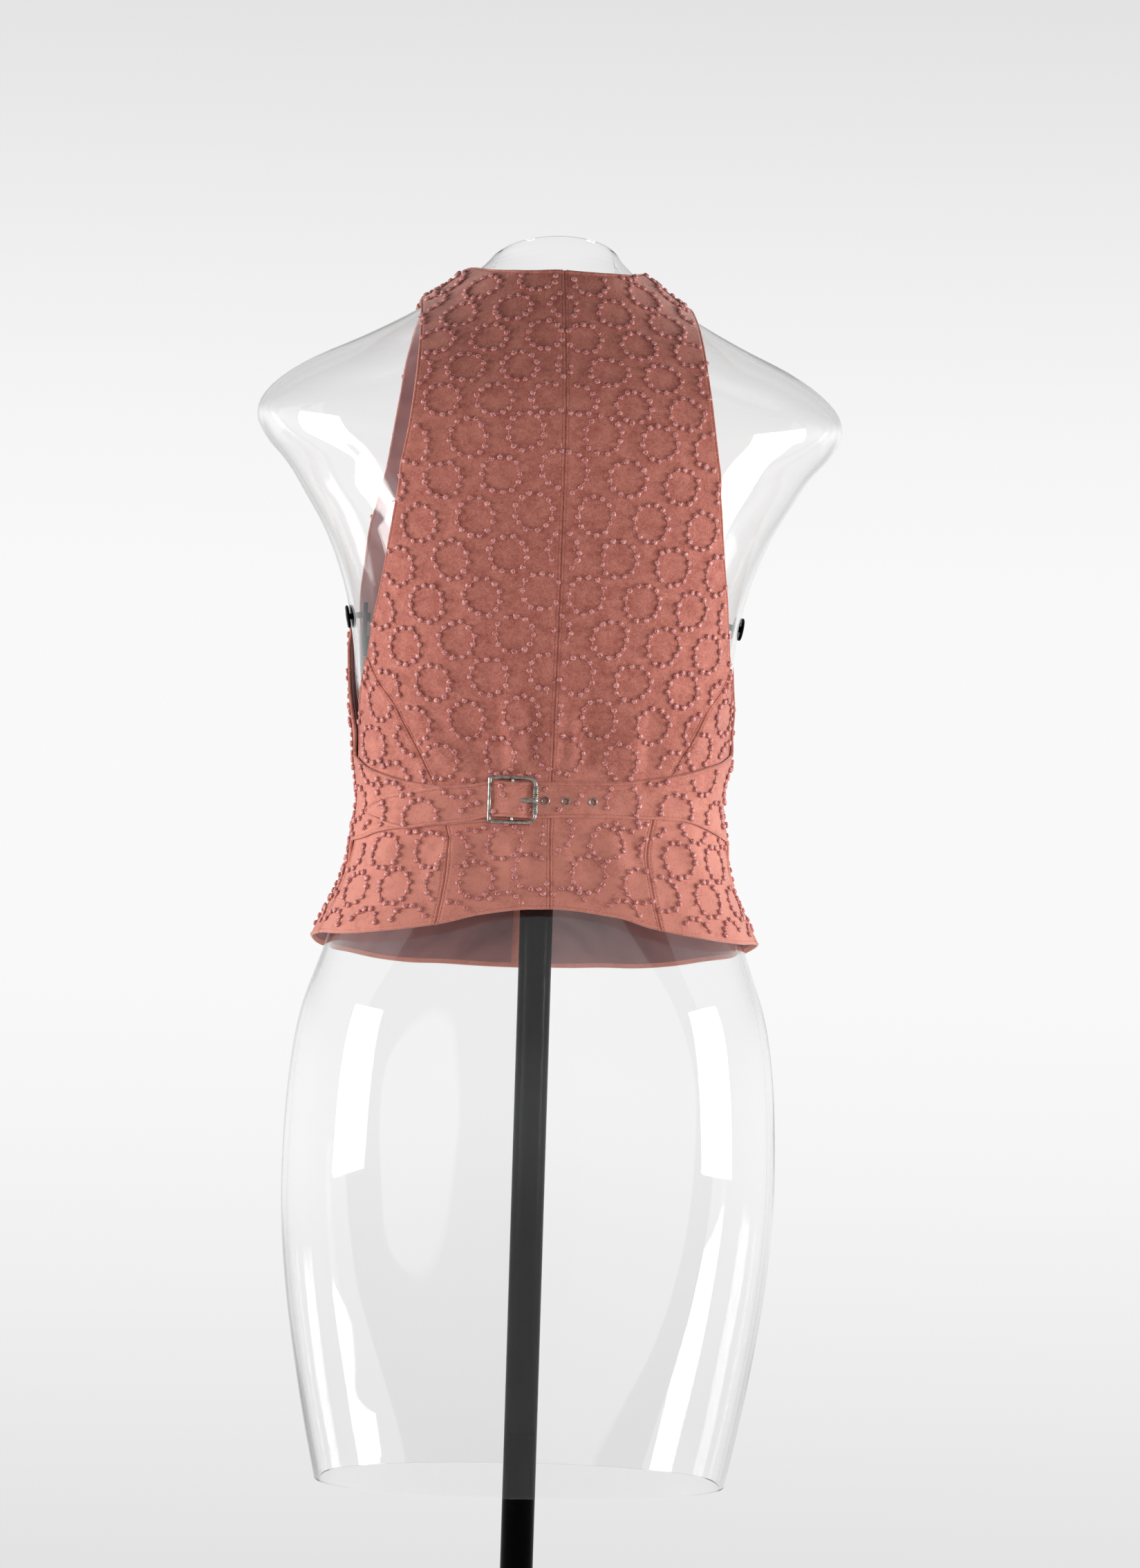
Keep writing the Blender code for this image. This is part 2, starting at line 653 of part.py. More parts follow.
def build_buckle(front_right):
    """A centre-bar buckle: the right strap runs under its right bar, over the middle and under the left"""
    half = BUCKLE_WIDTH / 2 - FRAME_ROD
    tall = BUCKLE_HEIGHT / 2 - FRAME_ROD
    middle_out = (BUCKLE_RIGHT_OUT + BUCKLE_LEFT_OUT) / 2
    tilt = np.arctan2(BUCKLE_LEFT_OUT - BUCKLE_RIGHT_OUT, 2 * half)
    place = place_on_cloth(BUCKLE_ANGLE, BUCKLE_AT, middle_out) @ Matrix.Rotation(tilt, 4, "Z")
    outline = buckle_outline(2 * half, 2 * tall, 5.0, 1.2, 3)
    frame = ring_tube("buckle_frame", outline, FRAME_ROD, 8, NICKEL, 0.35, 1.0, place)
    ends = (0, 0, -tall), (0, 0, tall)
    bar = rod("centre_bar_tool", *ends, CENTRE_BAR_ROD, 8, NICKEL, 0.35, 1.0, place)
    combine(frame, bar, "UNION")
    sleeve = [
        (ROLLER_INNER, -ROLLER_LENGTH / 2),
        (ROLLER_OUTER, -ROLLER_LENGTH / 2),
        (ROLLER_OUTER, ROLLER_LENGTH / 2),
        (ROLLER_INNER, ROLLER_LENGTH / 2),
    ]
    right_bar = place @ Matrix.Translation(Vector((half, 0, 0)) * MM)
    turned("buckle_roller", sleeve, 14, NICKEL, 0.4, 1.0, right_bar)
    loop = [
        (CENTRE_BAR_ROD + 0.3, -1.2),
        (PRONG_LOOP, -1.2),
        (PRONG_LOOP, 1.2),
        (CENTRE_BAR_ROD + 0.3, 1.2),
    ]
    prong = turned("buckle_prong", loop, 12, NICKEL, 0.35, 1.0, place)
    start = (CENTRE_BAR_ROD + 0.5, -0.4, 0)
    tip = (half + 0.6, -(ROLLER_OUTER + PRONG_ROD + 0.5), 0)
    tongue = rod("tongue_tool", start, tip, PRONG_ROD, 8, NICKEL, 0.35, 1.0, place)
    combine(prong, tongue, "UNION")
    slot = rod("slot_tool", start, tip, PRONG_ROD + 0.8, 8, NICKEL, 0.35, 1.0, place)
    combine(front_right, slot, "DIFFERENCE")


def build_eyelets(front_right):
    profile = [
        (EYELET_HOLE, 0.8),
        (EYELET_BARREL, 0.8),
        (EYELET_BARREL, 2.8),
        (EYELET_FLANGE, 2.8),
        (EYELET_FLANGE, 3.05),
        (EYELET_FLANGE - 0.5, 3.4),
        (EYELET_HOLE + 0.2, 3.4),
        (EYELET_HOLE, 3.15),
    ]
    for number, angle in enumerate(EYELET_ANGLES, 1):
        place = place_on_cloth(angle, EYELET_AT) @ Matrix.Rotation(np.pi / 2, 4, "X")
        turned(f"eyelet_{number}", profile, 12, NICKEL, 0.3, 1.0, place)
        ends = (0, 0, -0.2), (0, 0, 6)
        hole = rod(f"eyelet_tool_{number}", *ends, EYELET_BARREL + 0.35, 12, NICKEL, 0.3, 1.0, place)
        combine(front_right, hole, "DIFFERENCE")


def build_buttons():
    profile = [
        (0, 0),
        (BUTTON_RADIUS - 0.8, 0),
        (BUTTON_RADIUS, 0.9),
        (BUTTON_RADIUS, 2.0),
        (BUTTON_RADIUS - 1.2, BUTTON_THICK),
        (BUTTON_RADIUS - 2.4, BUTTON_THICK - 0.6),
        (0, BUTTON_THICK - 0.6),
    ]
    lift = CLOTH_THICK + LAYER_GAP + 0.6
    for number, height in enumerate(BUTTON_HEIGHTS, 1):
        place = place_on_cloth(180.0, height, lift) @ Matrix.Rotation(np.pi / 2, 4, "X")
        turned(f"button_{number}", profile, 12, SHELL, 0.4, 0.0, place)


def form_row(height, columns, side):
    """Points of a half shell's outer face along the form's section; None is the slanted rim of the neck"""
    back_depth, front_depth = 57, 52
    rim_depth = back_depth if side < 0 else front_depth
    rim = NECK_RIM_MIDDLE - side * NECK_RIM_SLOPE * rim_depth * np.sin(columns)
    if height is None:
        level = rim
    elif height > NECK_START:
        level = NECK_START + (rim - NECK_START) * (height - NECK_START) / (NECK_RIM_MIDDLE - NECK_START)
    else:
        level = np.full(columns.shape, float(height))
    half, back, front, power = columns_at(FORM, level)
    depth = back if side < 0 else front
    x = half * np.sign(np.cos(columns)) * np.abs(np.cos(columns)) ** (2 / power)
    y = side * depth * np.sin(columns) ** (2 / power)
    return np.stack([x, y, level], axis=-1)


def build_form():
    """Two clear half shells that meet at the sides and along the tops of the shoulders"""
    columns = np.linspace(0, np.pi, 16)
    for name, side in (("form_back", -1), ("form_front", 1)):
        outer = np.array([form_row(height, columns, side) for height in FORM_ROWS])
        nudged = outer.copy()
        nudged[:, 0, 1] = nudged[:, -1, 1] = side * 0.5
        inner = outer - outward(FORM, nudged) * FORM_WALL
        inner[0, :, 2] = outer[0, :, 2]
        for grid in (outer, inner):
            grid[:, 0, 1] = grid[:, -1, 1] = side * HALF_GAP
        cells = np.ones((outer.shape[0] - 1, outer.shape[1] - 1), bool)
        shell = wall(name, outer, inner, cells, ACRYLIC, 0.08)
        for hand in (-1, 1):
            ends = (hand * 120, 0, KNOB_AT), (hand * 150, 0, KNOB_AT)
            hole = rod(f"screw_tool_{name}_{hand + 1}", *ends, SCREW_RADIUS + 0.4, 12, BLACK, 0.4, 0)
            combine(shell, hole, "DIFFERENCE")


def build_fittings():
    """The bar across the inside of the form, its end plates and collar, and the screws that hold it"""
    plate_low, plate_high = BAR_AT - 8.0, KNOB_AT + 10.0
    half, _, _, _ = columns_at(FORM, np.array([plate_low, KNOB_AT + KNOB_RADIUS + 1.0]))
    plate_out = float(half[0]) - FORM_WALL - 1.5
    face = float(half[1]) + 0.7
    ends = (1 - plate_out, 0, BAR_AT), (plate_out - 1, 0, BAR_AT)
    bar = rod("form_crossbar", *ends, BAR_RADIUS, 16, BLACK, 0.4, 0.6)
    ends = (0, 0, BAR_AT - COLLAR_HALF), (0, 0, BAR_AT + COLLAR_HALF)
    combine(bar, rod("collar_tool", *ends, COLLAR_RADIUS, 20, BLACK, 0.4, 0.6), "UNION")
    for hand, word in ((-1, "left"), (1, "right")):
        corners = [
            np.array([hand * x, y, z])
            for x in (plate_out - 3, plate_out)
            for y in (-11.0, 11.0)
            for z in (plate_low, plate_high)
        ]
        faces = [[0, 1, 3, 2], [4, 6, 7, 5], [0, 4, 5, 1], [2, 3, 7, 6], [0, 2, 6, 4], [1, 5, 7, 3]]
        plate = make_mesh(f"plate_tool_{word}", corners, faces, BLACK, 0.4, 0.6, False)
        combine(bar, plate, "UNION")
        profile = [
            (0, plate_out + 0.3),
            (SCREW_RADIUS, plate_out + 0.3),
            (SCREW_RADIUS, face),
            (KNOB_RADIUS, face),
            (KNOB_RADIUS, face + KNOB_THICK - 0.7),
            (KNOB_RADIUS - 0.8, face + KNOB_THICK),
            (0, face + KNOB_THICK),
        ]
        turn = Matrix.Rotation(np.pi if hand < 0 else 0, 4, "Z")
        place = Matrix.Translation((0, 0, KNOB_AT * MM)) @ turn
        turned(f"form_knob_{word}", profile, 16, BLACK, 0.35, 0.5, place, "X")


def build_stand():
    ends = (0, 0, BASE_THICK + 0.3), (0, 0, BAR_AT - COLLAR_HALF - 0.3)
    rod("stand_pole", *ends, POLE_RADIUS, 24, BLACK, 0.35, 0.6)
    profile = [
        (0, 0),
        (BASE_RADIUS - 2, 0),
        (BASE_RADIUS, 2),
        (BASE_RADIUS, BASE_THICK - 2),
        (BASE_RADIUS - 2, BASE_THICK),
        (HUB_RADIUS, BASE_THICK),
        (HUB_RADIUS, HUB_TOP - 2),
        (HUB_RADIUS - 2, HUB_TOP),
        (POLE_RADIUS + 0.3, HUB_TOP),
        (POLE_RADIUS + 0.3, BASE_THICK),
        (0, BASE_THICK),
    ]
    turned("stand_base", profile, 36, BLACK, 0.4, 0.5, Matrix())


def build_waistcoat():
    build_backs()
    build_side_backs()
    plain_lift = ([-90.0, 90.0], [LAYER_GAP, LAYER_GAP])
    right_lift = tuple(zip(*RIGHT_STRAP_LIFT))
    left, right = np.array(LEFT_STRAP_COLUMNS), np.array(RIGHT_STRAP_COLUMNS)
    build_front("front_left", -1, LEFT_STRAP_LINE, left, plain_lift, 0)
    front_right = build_front("front_right", 1, RIGHT_STRAP_LINE, right, right_lift, 1)
    build_lining("lining_left", -1, LEFT_STRAP_LINE)
    build_lining("lining_right", 1, RIGHT_STRAP_LINE)
    build_buckle(front_right)
    build_eyelets(front_right)
    build_buttons()


def main():
    for old in list(bpy.data.objects):
        bpy.data.objects.remove(old)
    build_waistcoat()
    build_form()
    build_fittings()
    build_stand()


main()
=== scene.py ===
import bpy
import numpy as np
from mathutils import Matrix, Vector


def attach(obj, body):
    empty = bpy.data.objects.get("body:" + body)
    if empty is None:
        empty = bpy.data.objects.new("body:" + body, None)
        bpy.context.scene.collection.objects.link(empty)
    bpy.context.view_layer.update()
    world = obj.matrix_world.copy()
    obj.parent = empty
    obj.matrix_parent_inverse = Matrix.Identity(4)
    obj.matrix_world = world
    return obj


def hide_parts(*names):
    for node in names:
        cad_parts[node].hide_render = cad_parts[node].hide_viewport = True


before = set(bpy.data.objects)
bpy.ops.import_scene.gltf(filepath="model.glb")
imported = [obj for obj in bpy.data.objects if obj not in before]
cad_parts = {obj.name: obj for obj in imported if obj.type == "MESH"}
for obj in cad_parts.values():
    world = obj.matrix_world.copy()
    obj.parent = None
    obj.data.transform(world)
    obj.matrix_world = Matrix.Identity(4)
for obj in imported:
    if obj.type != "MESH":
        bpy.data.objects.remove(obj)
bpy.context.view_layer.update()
scene = bpy.context.scene
mm = 0.001
dice = np.random.default_rng(7)
bothSides = ((-1, "left"), (1, "right"))

# Camera and light

cameraValues = {
    "lens": 124.8,  # mm on a 36 mm side
    "distance": 3.8,
    "height": 0.818,
    "sideStep": 0.0208,  # to the camera's right
    "turn": 5.2,  # degrees to the left of the back
    "roll": 1.75,
}
lightValues = {
    "pairs": (
        # name, degrees from the back, distance, height, size, power, aim, whether it shows in the acrylic
        ("softbox", 72, 1.65, 0.82, (0.60, 0.80), 12, 0.85, True),
        ("side", 98, 1.7, 0.8, (0.9, 1.0), 23, 0.85, False),
        ("rim", 118, 1.8, 1.0, (0.6, 1.4), 7, 0.85, False),
    ),
    "fill": ("low_fill", 8, 0.95, 0.90, (0.7, 0.3), 3.0, 0.78, False),
    "leftShare": 0.85,  # the left softbox's power, as a share of the right one's
    "skyOnCloth": 0.10,
    "darkSide": 0.28,  # how bright the room is on the camera's side, as a share
}


def hexColour(code, alpha=1.0):
    parts = [int(code[k:k + 2], 16) / 255 for k in (0, 2, 4)]
    return (*[p / 12.92 if p <= 0.04045 else ((p + 0.055) / 1.055) ** 2.4 for p in parts], alpha)


def feed(tree, node, values):  # each is a plain value, a socket, or a node whose first output is meant
    for name, value in values.items():
        if isinstance(value, bpy.types.Node):
            value = value.outputs[0]
        if isinstance(value, bpy.types.NodeSocket):
            tree.links.new(value, node.inputs[name])
        else:
            node.inputs[name].default_value = value


def addNode(tree, kind, inputs=None, stops=(), **settings):  # stops are the places and colours of a ramp
    node = tree.nodes.new(kind)
    for name, value in settings.items():
        setattr(node, name, value)
    for number, (place, code) in enumerate(stops):
        node.color_ramp.elements[number].position = place
        node.color_ramp.elements[number].color = hexColour(code)
    feed(tree, node, inputs or {})
    return node


def addObject(name, data):
    piece = bpy.data.objects.new(name, data)
    scene.collection.objects.link(piece)
    return piece


def makeCamera():
    turn, roll = np.radians(cameraValues["turn"]), np.radians(cameraValues["roll"])
    ahead = Vector((np.sin(turn), np.cos(turn), 0))
    side = Vector((np.cos(turn), -np.sin(turn), 0))
    up = Vector((0, 0, 1)) * np.cos(roll) - side * np.sin(roll)
    right = side * np.cos(roll) + Vector((0, 0, 1)) * np.sin(roll)
    eye = side * cameraValues["sideStep"] - ahead * cameraValues["distance"]
    eye.z = cameraValues["height"]
    scene.camera = addObject("camera", bpy.data.cameras.new("camera"))
    scene.camera.data.lens = cameraValues["lens"]
    scene.camera.matrix_world = Matrix.Translation(eye) @ Matrix((right, up, -ahead)).transposed().to_4x4()


def softbox(name, angle, distance, height, size, power, aim, mirrored):
    data = bpy.data.lights.new(name, "AREA")
    data.shape = "RECTANGLE"
    data.size, data.size_y = size
    data.energy = power
    light = addObject(name, data)
    light.visible_glossy = light.visible_transmission = mirrored
    turn = np.radians(angle)
    place = Vector((distance * np.sin(turn), -distance * np.cos(turn), height))
    toward = Vector((0, 0, aim)) - place
    light.matrix_world = Matrix.Translation(place) @ toward.to_track_quat("-Z", "Y").to_matrix().to_4x4()


def makeLights():
    for side, word in bothSides:
        for name, angle, distance, height, size, power, aim, mirrored in lightValues["pairs"]:
            share = lightValues["leftShare"] if (word, name) == ("left", "softbox") else 1
            softbox(f"{name}_{word}", side * angle, distance, height, size, power * share, aim, mirrored)
    softbox(*lightValues["fill"])


def makeWorld():
    world = bpy.data.worlds.new("studio")
    world.use_nodes = True
    tree = world.node_tree
    tree.nodes.clear()
    place = addNode(tree, "ShaderNodeTexCoord").outputs["Generated"]
    direction = addNode(tree, "ShaderNodeSeparateXYZ", {0: place}).outputs
    level = addNode(tree, "ShaderNodeMath", {0: direction["Z"]}, operation="ABSOLUTE")
    backdrop = addNode(tree, "ShaderNodeMapRange", {
        "Value": level, "From Min": 0.02, "From Max": 0.22, "To Min": 0.95, "To Max": 0.68,
    }, interpolation_type="SMOOTHSTEP")
    # the lit backdrop is behind the waistcoat; the room on the camera's side is dim
    room = addNode(tree, "ShaderNodeMapRange", {
        "Value": direction["Y"], "From Min": -0.35, "From Max": 0.55, "To Min": lightValues["darkSide"], "To Max": 1.0,
    }, interpolation_type="SMOOTHSTEP")
    path = addNode(tree, "ShaderNodeLightPath").outputs
    dimmed = addNode(tree, "ShaderNodeMath", {0: backdrop, 1: room}, operation="MULTIPLY")
    seen = addNode(tree, "ShaderNodeMix", {0: path["Is Reflection Ray"], 2: backdrop, 3: dimmed})
    strength = addNode(tree, "ShaderNodeMix", {0: path["Is Diffuse Ray"], 2: seen, 3: lightValues["skyOnCloth"]})
    sky = addNode(tree, "ShaderNodeBackground", {"Color": (1, 1, 1, 1), "Strength": strength})
    addNode(tree, "ShaderNodeOutputWorld", {"Surface": sky})
    scene.world = world
    scene.view_settings.view_transform = "Standard"


# Tables of the form and the garment, in millimetres and degrees, as the solids have them

garment = {
    "clothThick": 1.8, "liningThick": 0.8, "layerGap": 0.6, "liningGap": 0.35,
    "shoulderEase": 4.9, "shoulderStart": 1040, "wrapRadius": 115,
    "sideSeam": 82, "armholeBottom": 833, "sideBackTop": 903, "seamClimb": 97,
    "buttonStand": 5, "lapStart": 160, "stepWidth": 9, "stepFade": 19,
}
formSections = (
    # height, half width, back depth, front depth, power of the superellipse
    (330, 143.5, 98, 104, 2.20), (370, 152, 104, 106, 2.20), (417, 160.5, 109, 106, 2.20),
    (460, 167, 113, 105, 2.20), (500, 171, 117, 104, 2.20), (580, 171.5, 120, 102, 2.20),
    (615, 169, 119, 101, 2.20), (656, 162.5, 115, 100, 2.18), (700, 148, 105, 99, 2.15),
    (735, 137, 96, 97, 2.15), (770, 127, 88, 94, 2.15), (805, 121.5, 83.5, 92, 2.15),
    (850, 126, 85, 95, 2.15), (883, 131, 89, 103, 2.12), (915, 134, 94, 115, 2.10),
    (948, 140, 99.5, 124, 2.08), (970, 147, 103.5, 127.5, 2.05), (993, 157, 107, 126.5, 2.00),
    (1015, 170, 109.5, 121, 1.95), (1037, 184, 111, 113, 1.90), (1053, 198, 110.5, 106.5, 1.85),
    (1068, 205, 109, 100, 1.80), (1080, 203, 106.5, 94.5, 1.80), (1095, 190, 101, 88, 1.80),
    (1110, 167, 94.5, 81, 1.80), (1125, 135, 88, 75, 1.80), (1144, 99, 78, 67, 1.85),
    (1163, 70, 67, 60, 1.95), (1175, 54, 61, 55, 2.00), (1184, 45, 57, 52, 2.00),
    (1204, 40, 52, 48, 2.00),
)
clothSections = (
    # height, half width, back depth, front depth, power; the cloth's outer face
    (670, 168, 128, 113.5, 2.15), (680, 165, 125, 112.5, 2.15), (709, 156, 116, 110, 2.15),
    (735, 143, 106, 105, 2.15), (755, 135.5, 98.5, 101, 2.15), (779, 130.3, 91, 98.3, 2.15),
    (805, 127, 87.8, 97, 2.15), (830, 130.5, 90.3, 99.8, 2.15), (850, 132.5, 94, 103, 2.15),
    (883, 136, 101, 112, 2.12), (915, 139, 107, 121, 2.10), (948, 145, 111.5, 129.5, 2.08),
    (970, 151.5, 113, 132.5, 2.05), (993, 161.5, 114, 131, 2.00), (1015, 174.6, 115, 125.5, 1.95),
    (1040, 191.2, 115.4, 116.3, 1.90),
)
hemRows = (
    # angle, height
    (0, 732.8), (10, 731.8), (19, 729.5), (27, 726.5), (34, 722), (42, 718.5), (48, 716), (57, 713.3),
    (68, 711), (80, 710.5), (95, 706), (108, 699), (118, 695), (128, 690.3), (140, 687), (151, 686.5),
    (164, 685.3), (190, 684.5),
)
backArmholeRows = (
    # height, angle
    (833, 81.8), (852, 79.8), (880, 76), (902, 71), (938, 64), (966, 59), (995, 54.8), (1025, 51),
    (1056, 49), (1094, 47.2), (1138, 45.7), (1205, 44), (1240, 43.5),
)
sideBackRows = (
    # height, angle
    (700, 38), (723, 38.2), (750, 38.8), (770, 39.5), (790, 43), (815, 47.5), (826, 50), (840, 53),
    (857, 57), (870, 60), (885, 66), (903, 70.8),
)
frontArmholeRows = (
    # height, angle
    (833, 82.2), (850, 84), (868, 88), (888, 95), (915, 102), (940, 110), (967, 119), (995, 124.5),
    (1015, 128), (1032, 129.5), (1057, 130.8), (1093, 132.3), (1147, 133.9), (1196, 135.9), (1240, 136.5),
)
neckRows = (
    # height, angle, the V neck of the fronts
    (940, 180), (965, 179.5), (985, 175.5), (1010, 171), (1040, 166), (1070, 161.8), (1100, 158.3),
    (1150, 154.3), (1200, 152.2), (1240, 152),
)
backNeckRows = (
    # sideways place, degrees of climb at which the back ends
    (0, 63.5), (18, 64.3), (30, 66), (40, 68.5), (48, 72), (54, 76.5), (59, 83), (63, 91), (66, 97), (75, 97),
    (120, 97), (200, 97),
)
foldRows = (
    # height at the belt, at the far end, angle at the belt, at the far end, half width, rise in mm
    (823, 905, -15, -19, 7.0, 5.0), (821, 880, -27, -38, 7.5, -3.0), (824, 895, -1, 2, 6.0, 3.5),
    (824, 900, 17, 12, 7.5, -3.5), (826, 890, 32, 31, 8.0, 4.0), (822, 870, -40, -52, 7.0, 3.3),
    (833, 880, 56, 63, 7.0, 2.8), (787, 738, -15, -14, 8.0, 4.5), (782, 735, -36, -46, 7.0, 3.0),
    (790, 742, 4, 11, 7.0, 3.0), (790, 740, 24, 32, 8.0, 4.0), (788, 745, 55, 62, 8.0, 2.8),
    (778, 740, -60, -68, 8.0, 2.8),
)
creaseRows = (
    # the same columns, for the narrow creases between the folds
    (826, 900, -8.5, -8, 2.6, -1.1), (824, 868, -21, -24, 3.0, -0.9), (822, 858, -33, -37, 3.2, 0.8),
    (825, 872, 8, 7, 3.0, 0.9), (824, 885, 23, 21, 3.0, -0.9), (826, 862, 39, 43, 3.4, -1.0),
    (822, 862, 47, 54, 3.2, 0.8), (822, 852, -58, -66, 3.4, -1.0), (788, 752, -24, -28, 3.4, -1.3),
    (789, 748, 2.5, 19, 3.2, -1.3), (790, 762, 17, 21, 3.0, 0.8), (791, 752, 33, 41, 3.4, -1.2),
    (787, 757, 47, 50, 3.2, 0.8), (786, 752, -47, -55, 3.4, -1.0), (781, 750, -72, -79, 3.4, -0.9),
    (785, 748, 74, 82, 3.4, -0.9), (800, 735, 98, 104, 6.0, 1.6), (800, 742, 118, 121, 5.0, -1.4),
    (805, 730, 138, 142, 6.5, 1.8), (800, 745, -97, -102, 6.0, 1.7), (805, 738, -120, -124, 5.5, -1.5),
    (800, 728, -141, -143, 6.5, 1.6), (815, 880, 100, 106, 5.0, -1.6), (812, 892, 126, 133, 6.0, 1.8),
    (815, 870, 150, 149, 4.5, -1.2), (815, 884, -99, -106, 5.0, -1.5), (812, 886, -128, -133, 6.0, 1.9),
    (815, 875, -151, -150, 4.5, -1.1), (905, 945, 98, 118, 4.0, -1.0), (907, 948, -98, -119, 4.0, -1.1),
)
leftStrapRows = (
    # angle from the centre back, top, bottom
    (-10, 819.5, 791.5), (14, 819, 791.5), (25, 817, 790.5), (46, 814.5, 786.5), (58, 817, 784),
    (68, 822, 780.5), (75, 826.5, 776.5), (82, 833, 774),
)
rightStrapRows = (
    # angle, to the left of the centre back under 0, top, bottom
    (-74.5, 796.5, 793), (-67, 804.5, 788), (-59, 808.5, 783.8), (-46, 813.5, 786.8),
    (-32, 816.5, 790.5), (-26, 818.5, 793.2), (-16, 819, 793.2), (-6, 818.8, 793.6), (3, 819.2, 794.5),
    (34, 821.3, 795.2), (48, 825, 795), (58, 829, 793.5), (66, 833, 789.5), (74, 837, 784.5),
    (82, 842, 780.5),
)
rightStrapLift = (
    # angle, lift of the strap's inner face off the panels
    (-75, 3.0), (-32, 3.0), (-25.3, 3.0), (-20.5, 6.6), (-18.5, 7.7), (-14, 7.7), (-12.4, 7.2),
    (-10.8, 4.9), (-9, 0.9), (-8, 0.6), (90, 0.6),
)


def smoothRows(table):
    rows = np.array(table, dtype=float)
    at, values = rows[:, 0], rows[:, 1:]
    slopes = np.gradient(values, at, axis=0)
    places = np.arange(at[0], at[-1] + 0.5, 1.0)
    i = np.clip(np.searchsorted(at, places, side="right") - 1, 0, len(at) - 2)
    gap = (at[i + 1] - at[i])[:, None]
    t = (places - at[i])[:, None] / gap
    curve = (
        (2 * t**3 - 3 * t**2 + 1) * values[i]
        + (t**3 - 2 * t**2 + t) * gap * slopes[i]
        + (3 * t**2 - 2 * t**3) * values[i + 1]
        + (t**3 - t**2) * gap * slopes[i + 1]
    )
    return places, curve


def columnsAt(rows, place):
    places, curve = rows
    return [np.interp(place, places, curve[:, k]) for k in range(curve.shape[1])]


formLine, clothLine, hemLine = smoothRows(formSections), smoothRows(clothSections), smoothRows(hemRows)
backArmholeLine, sideBackLine = smoothRows(backArmholeRows), smoothRows(sideBackRows)
frontArmholeLine, neckLine, backNeckLine = (smoothRows(t) for t in (frontArmholeRows, neckRows, backNeckRows))
leftStrapLine, rightStrapLine = smoothRows(leftStrapRows), smoothRows(rightStrapRows)


def ease(t):
    t = np.clip(t, 0, 1)
    return t * t * (3 - 2 * t)


def fullness(rows, x, y, z):  # under 1 inside the body that the sections describe
    half, back, front, power = columnsAt(rows, z)
    depth = np.where(y < 0, back, front)
    return (np.abs(x) / half) ** power + (np.abs(y) / depth) ** power


def outward(rows, point, reach=0.5):
    x, y, z = point[..., 0], point[..., 1], point[..., 2]
    slope = np.stack([
        fullness(rows, x + reach, y, z) - fullness(rows, x - reach, y, z),
        fullness(rows, x, y + reach, z) - fullness(rows, x, y - reach, z),
        fullness(rows, x, y, z + reach) - fullness(rows, x, y, z - reach),
    ], axis=-1)
    return slope / np.linalg.norm(slope, axis=-1, keepdims=True)


def sectionPoint(rows, angle, height):
    half, back, front, power = columnsAt(rows, height)
    turn = np.radians(angle)
    depth = np.where(np.cos(turn) > 0, back, front)
    across, along = np.abs(np.sin(turn)) / half, np.abs(np.cos(turn)) / depth
    radius = (across**power + along**power) ** (-1 / power)
    return np.stack([radius * np.sin(turn), -radius * np.cos(turn), height + 0 * radius], axis=-1)


def overShoulder(rows, x, climb, front):  # where a ray that climbs from the armpits leaves the body
    dy = np.where(front, np.cos(climb), -np.cos(climb))
    dz = np.sin(climb)
    low = np.zeros(np.broadcast(x, climb).shape)
    high = low + 250
    for _ in range(26):
        middle = (low + high) / 2
        inside = fullness(rows, x, middle * dy, garment["shoulderStart"] + middle * dz) < 1
        low = np.where(inside, middle, low)
        high = np.where(inside, high, middle)
    return np.stack([x + 0 * low, low * dy, garment["shoulderStart"] + low * dz], axis=-1)


def riseOf(rows, angle, height):
    rise = 0 * (angle + height)
    for start, end, startAngle, endAngle, halfWidth, most in rows:
        along = (height - start) / (end - start)
        centre = startAngle + (endAngle - startAngle) * along
        across = np.clip((angle - centre) / halfWidth, -1, 1)
        fade = ease(along * abs(end - start) / 14) * ease((1 - along) * 1.3)
        rise = rise + most * fade * (1 + np.cos(np.pi * across)) / 2
    return rise


# The cloth's outer face, worked out once on a fine grid of angles and heights

gridHeights = np.arange(676.0, 1248.0, 1.0)
gridAngles = np.arange(-192.0, 192.5, 0.5)


def clothTable():
    angle, height = np.meshgrid(gridAngles, gridHeights)
    start = float(garment["shoulderStart"])
    low = sectionPoint(clothLine, angle, np.minimum(height, start))
    radial = low * [1, 1, 0]
    radial = radial / np.linalg.norm(radial, axis=-1, keepdims=True)
    low = low + radial * riseOf(foldRows, angle, height)[..., None]
    edge = sectionPoint(clothLine, angle[0], np.full(gridAngles.shape, start - 1))
    sideways = outward(clothLine, edge)[..., 0]
    above = gridHeights > start - 30
    climb = (height[above] - start) / garment["wrapRadius"]
    x = edge[:, 0] - garment["shoulderEase"] * sideways
    base = overShoulder(formLine, x[None, :] + 0 * climb, climb, edge[None, :, 1] > 0)
    high = base + outward(formLine, base) * garment["shoulderEase"]
    blend = ease((height[above] - start + 25) / 25)[..., None]  # the two surfaces meet softly under the armpits
    points = low.copy()
    points[above] = low[above] * (1 - blend) + high * blend
    normals = gridNormals(points)
    # soft unevenness of steamed wool, besides the creases
    wave = (
        0.35 * np.sin(angle * 0.31 + height * 0.051)
        + 0.30 * np.sin(angle * 0.17 - height * 0.083 + 1.3)
        + 0.22 * np.sin(angle * 0.53 + height * 0.023 + 2.1)
    )
    calm = ease((height - 690) / 20)
    points = points + normals * (riseOf(creaseRows, angle, height) + 0.6 * wave * calm)[..., None]
    return points, gridNormals(points)


def gridNormals(points):
    up, along = np.gradient(points, axis=(0, 1))
    normal = np.cross(along, up)
    return normal / np.linalg.norm(normal, axis=-1, keepdims=True)


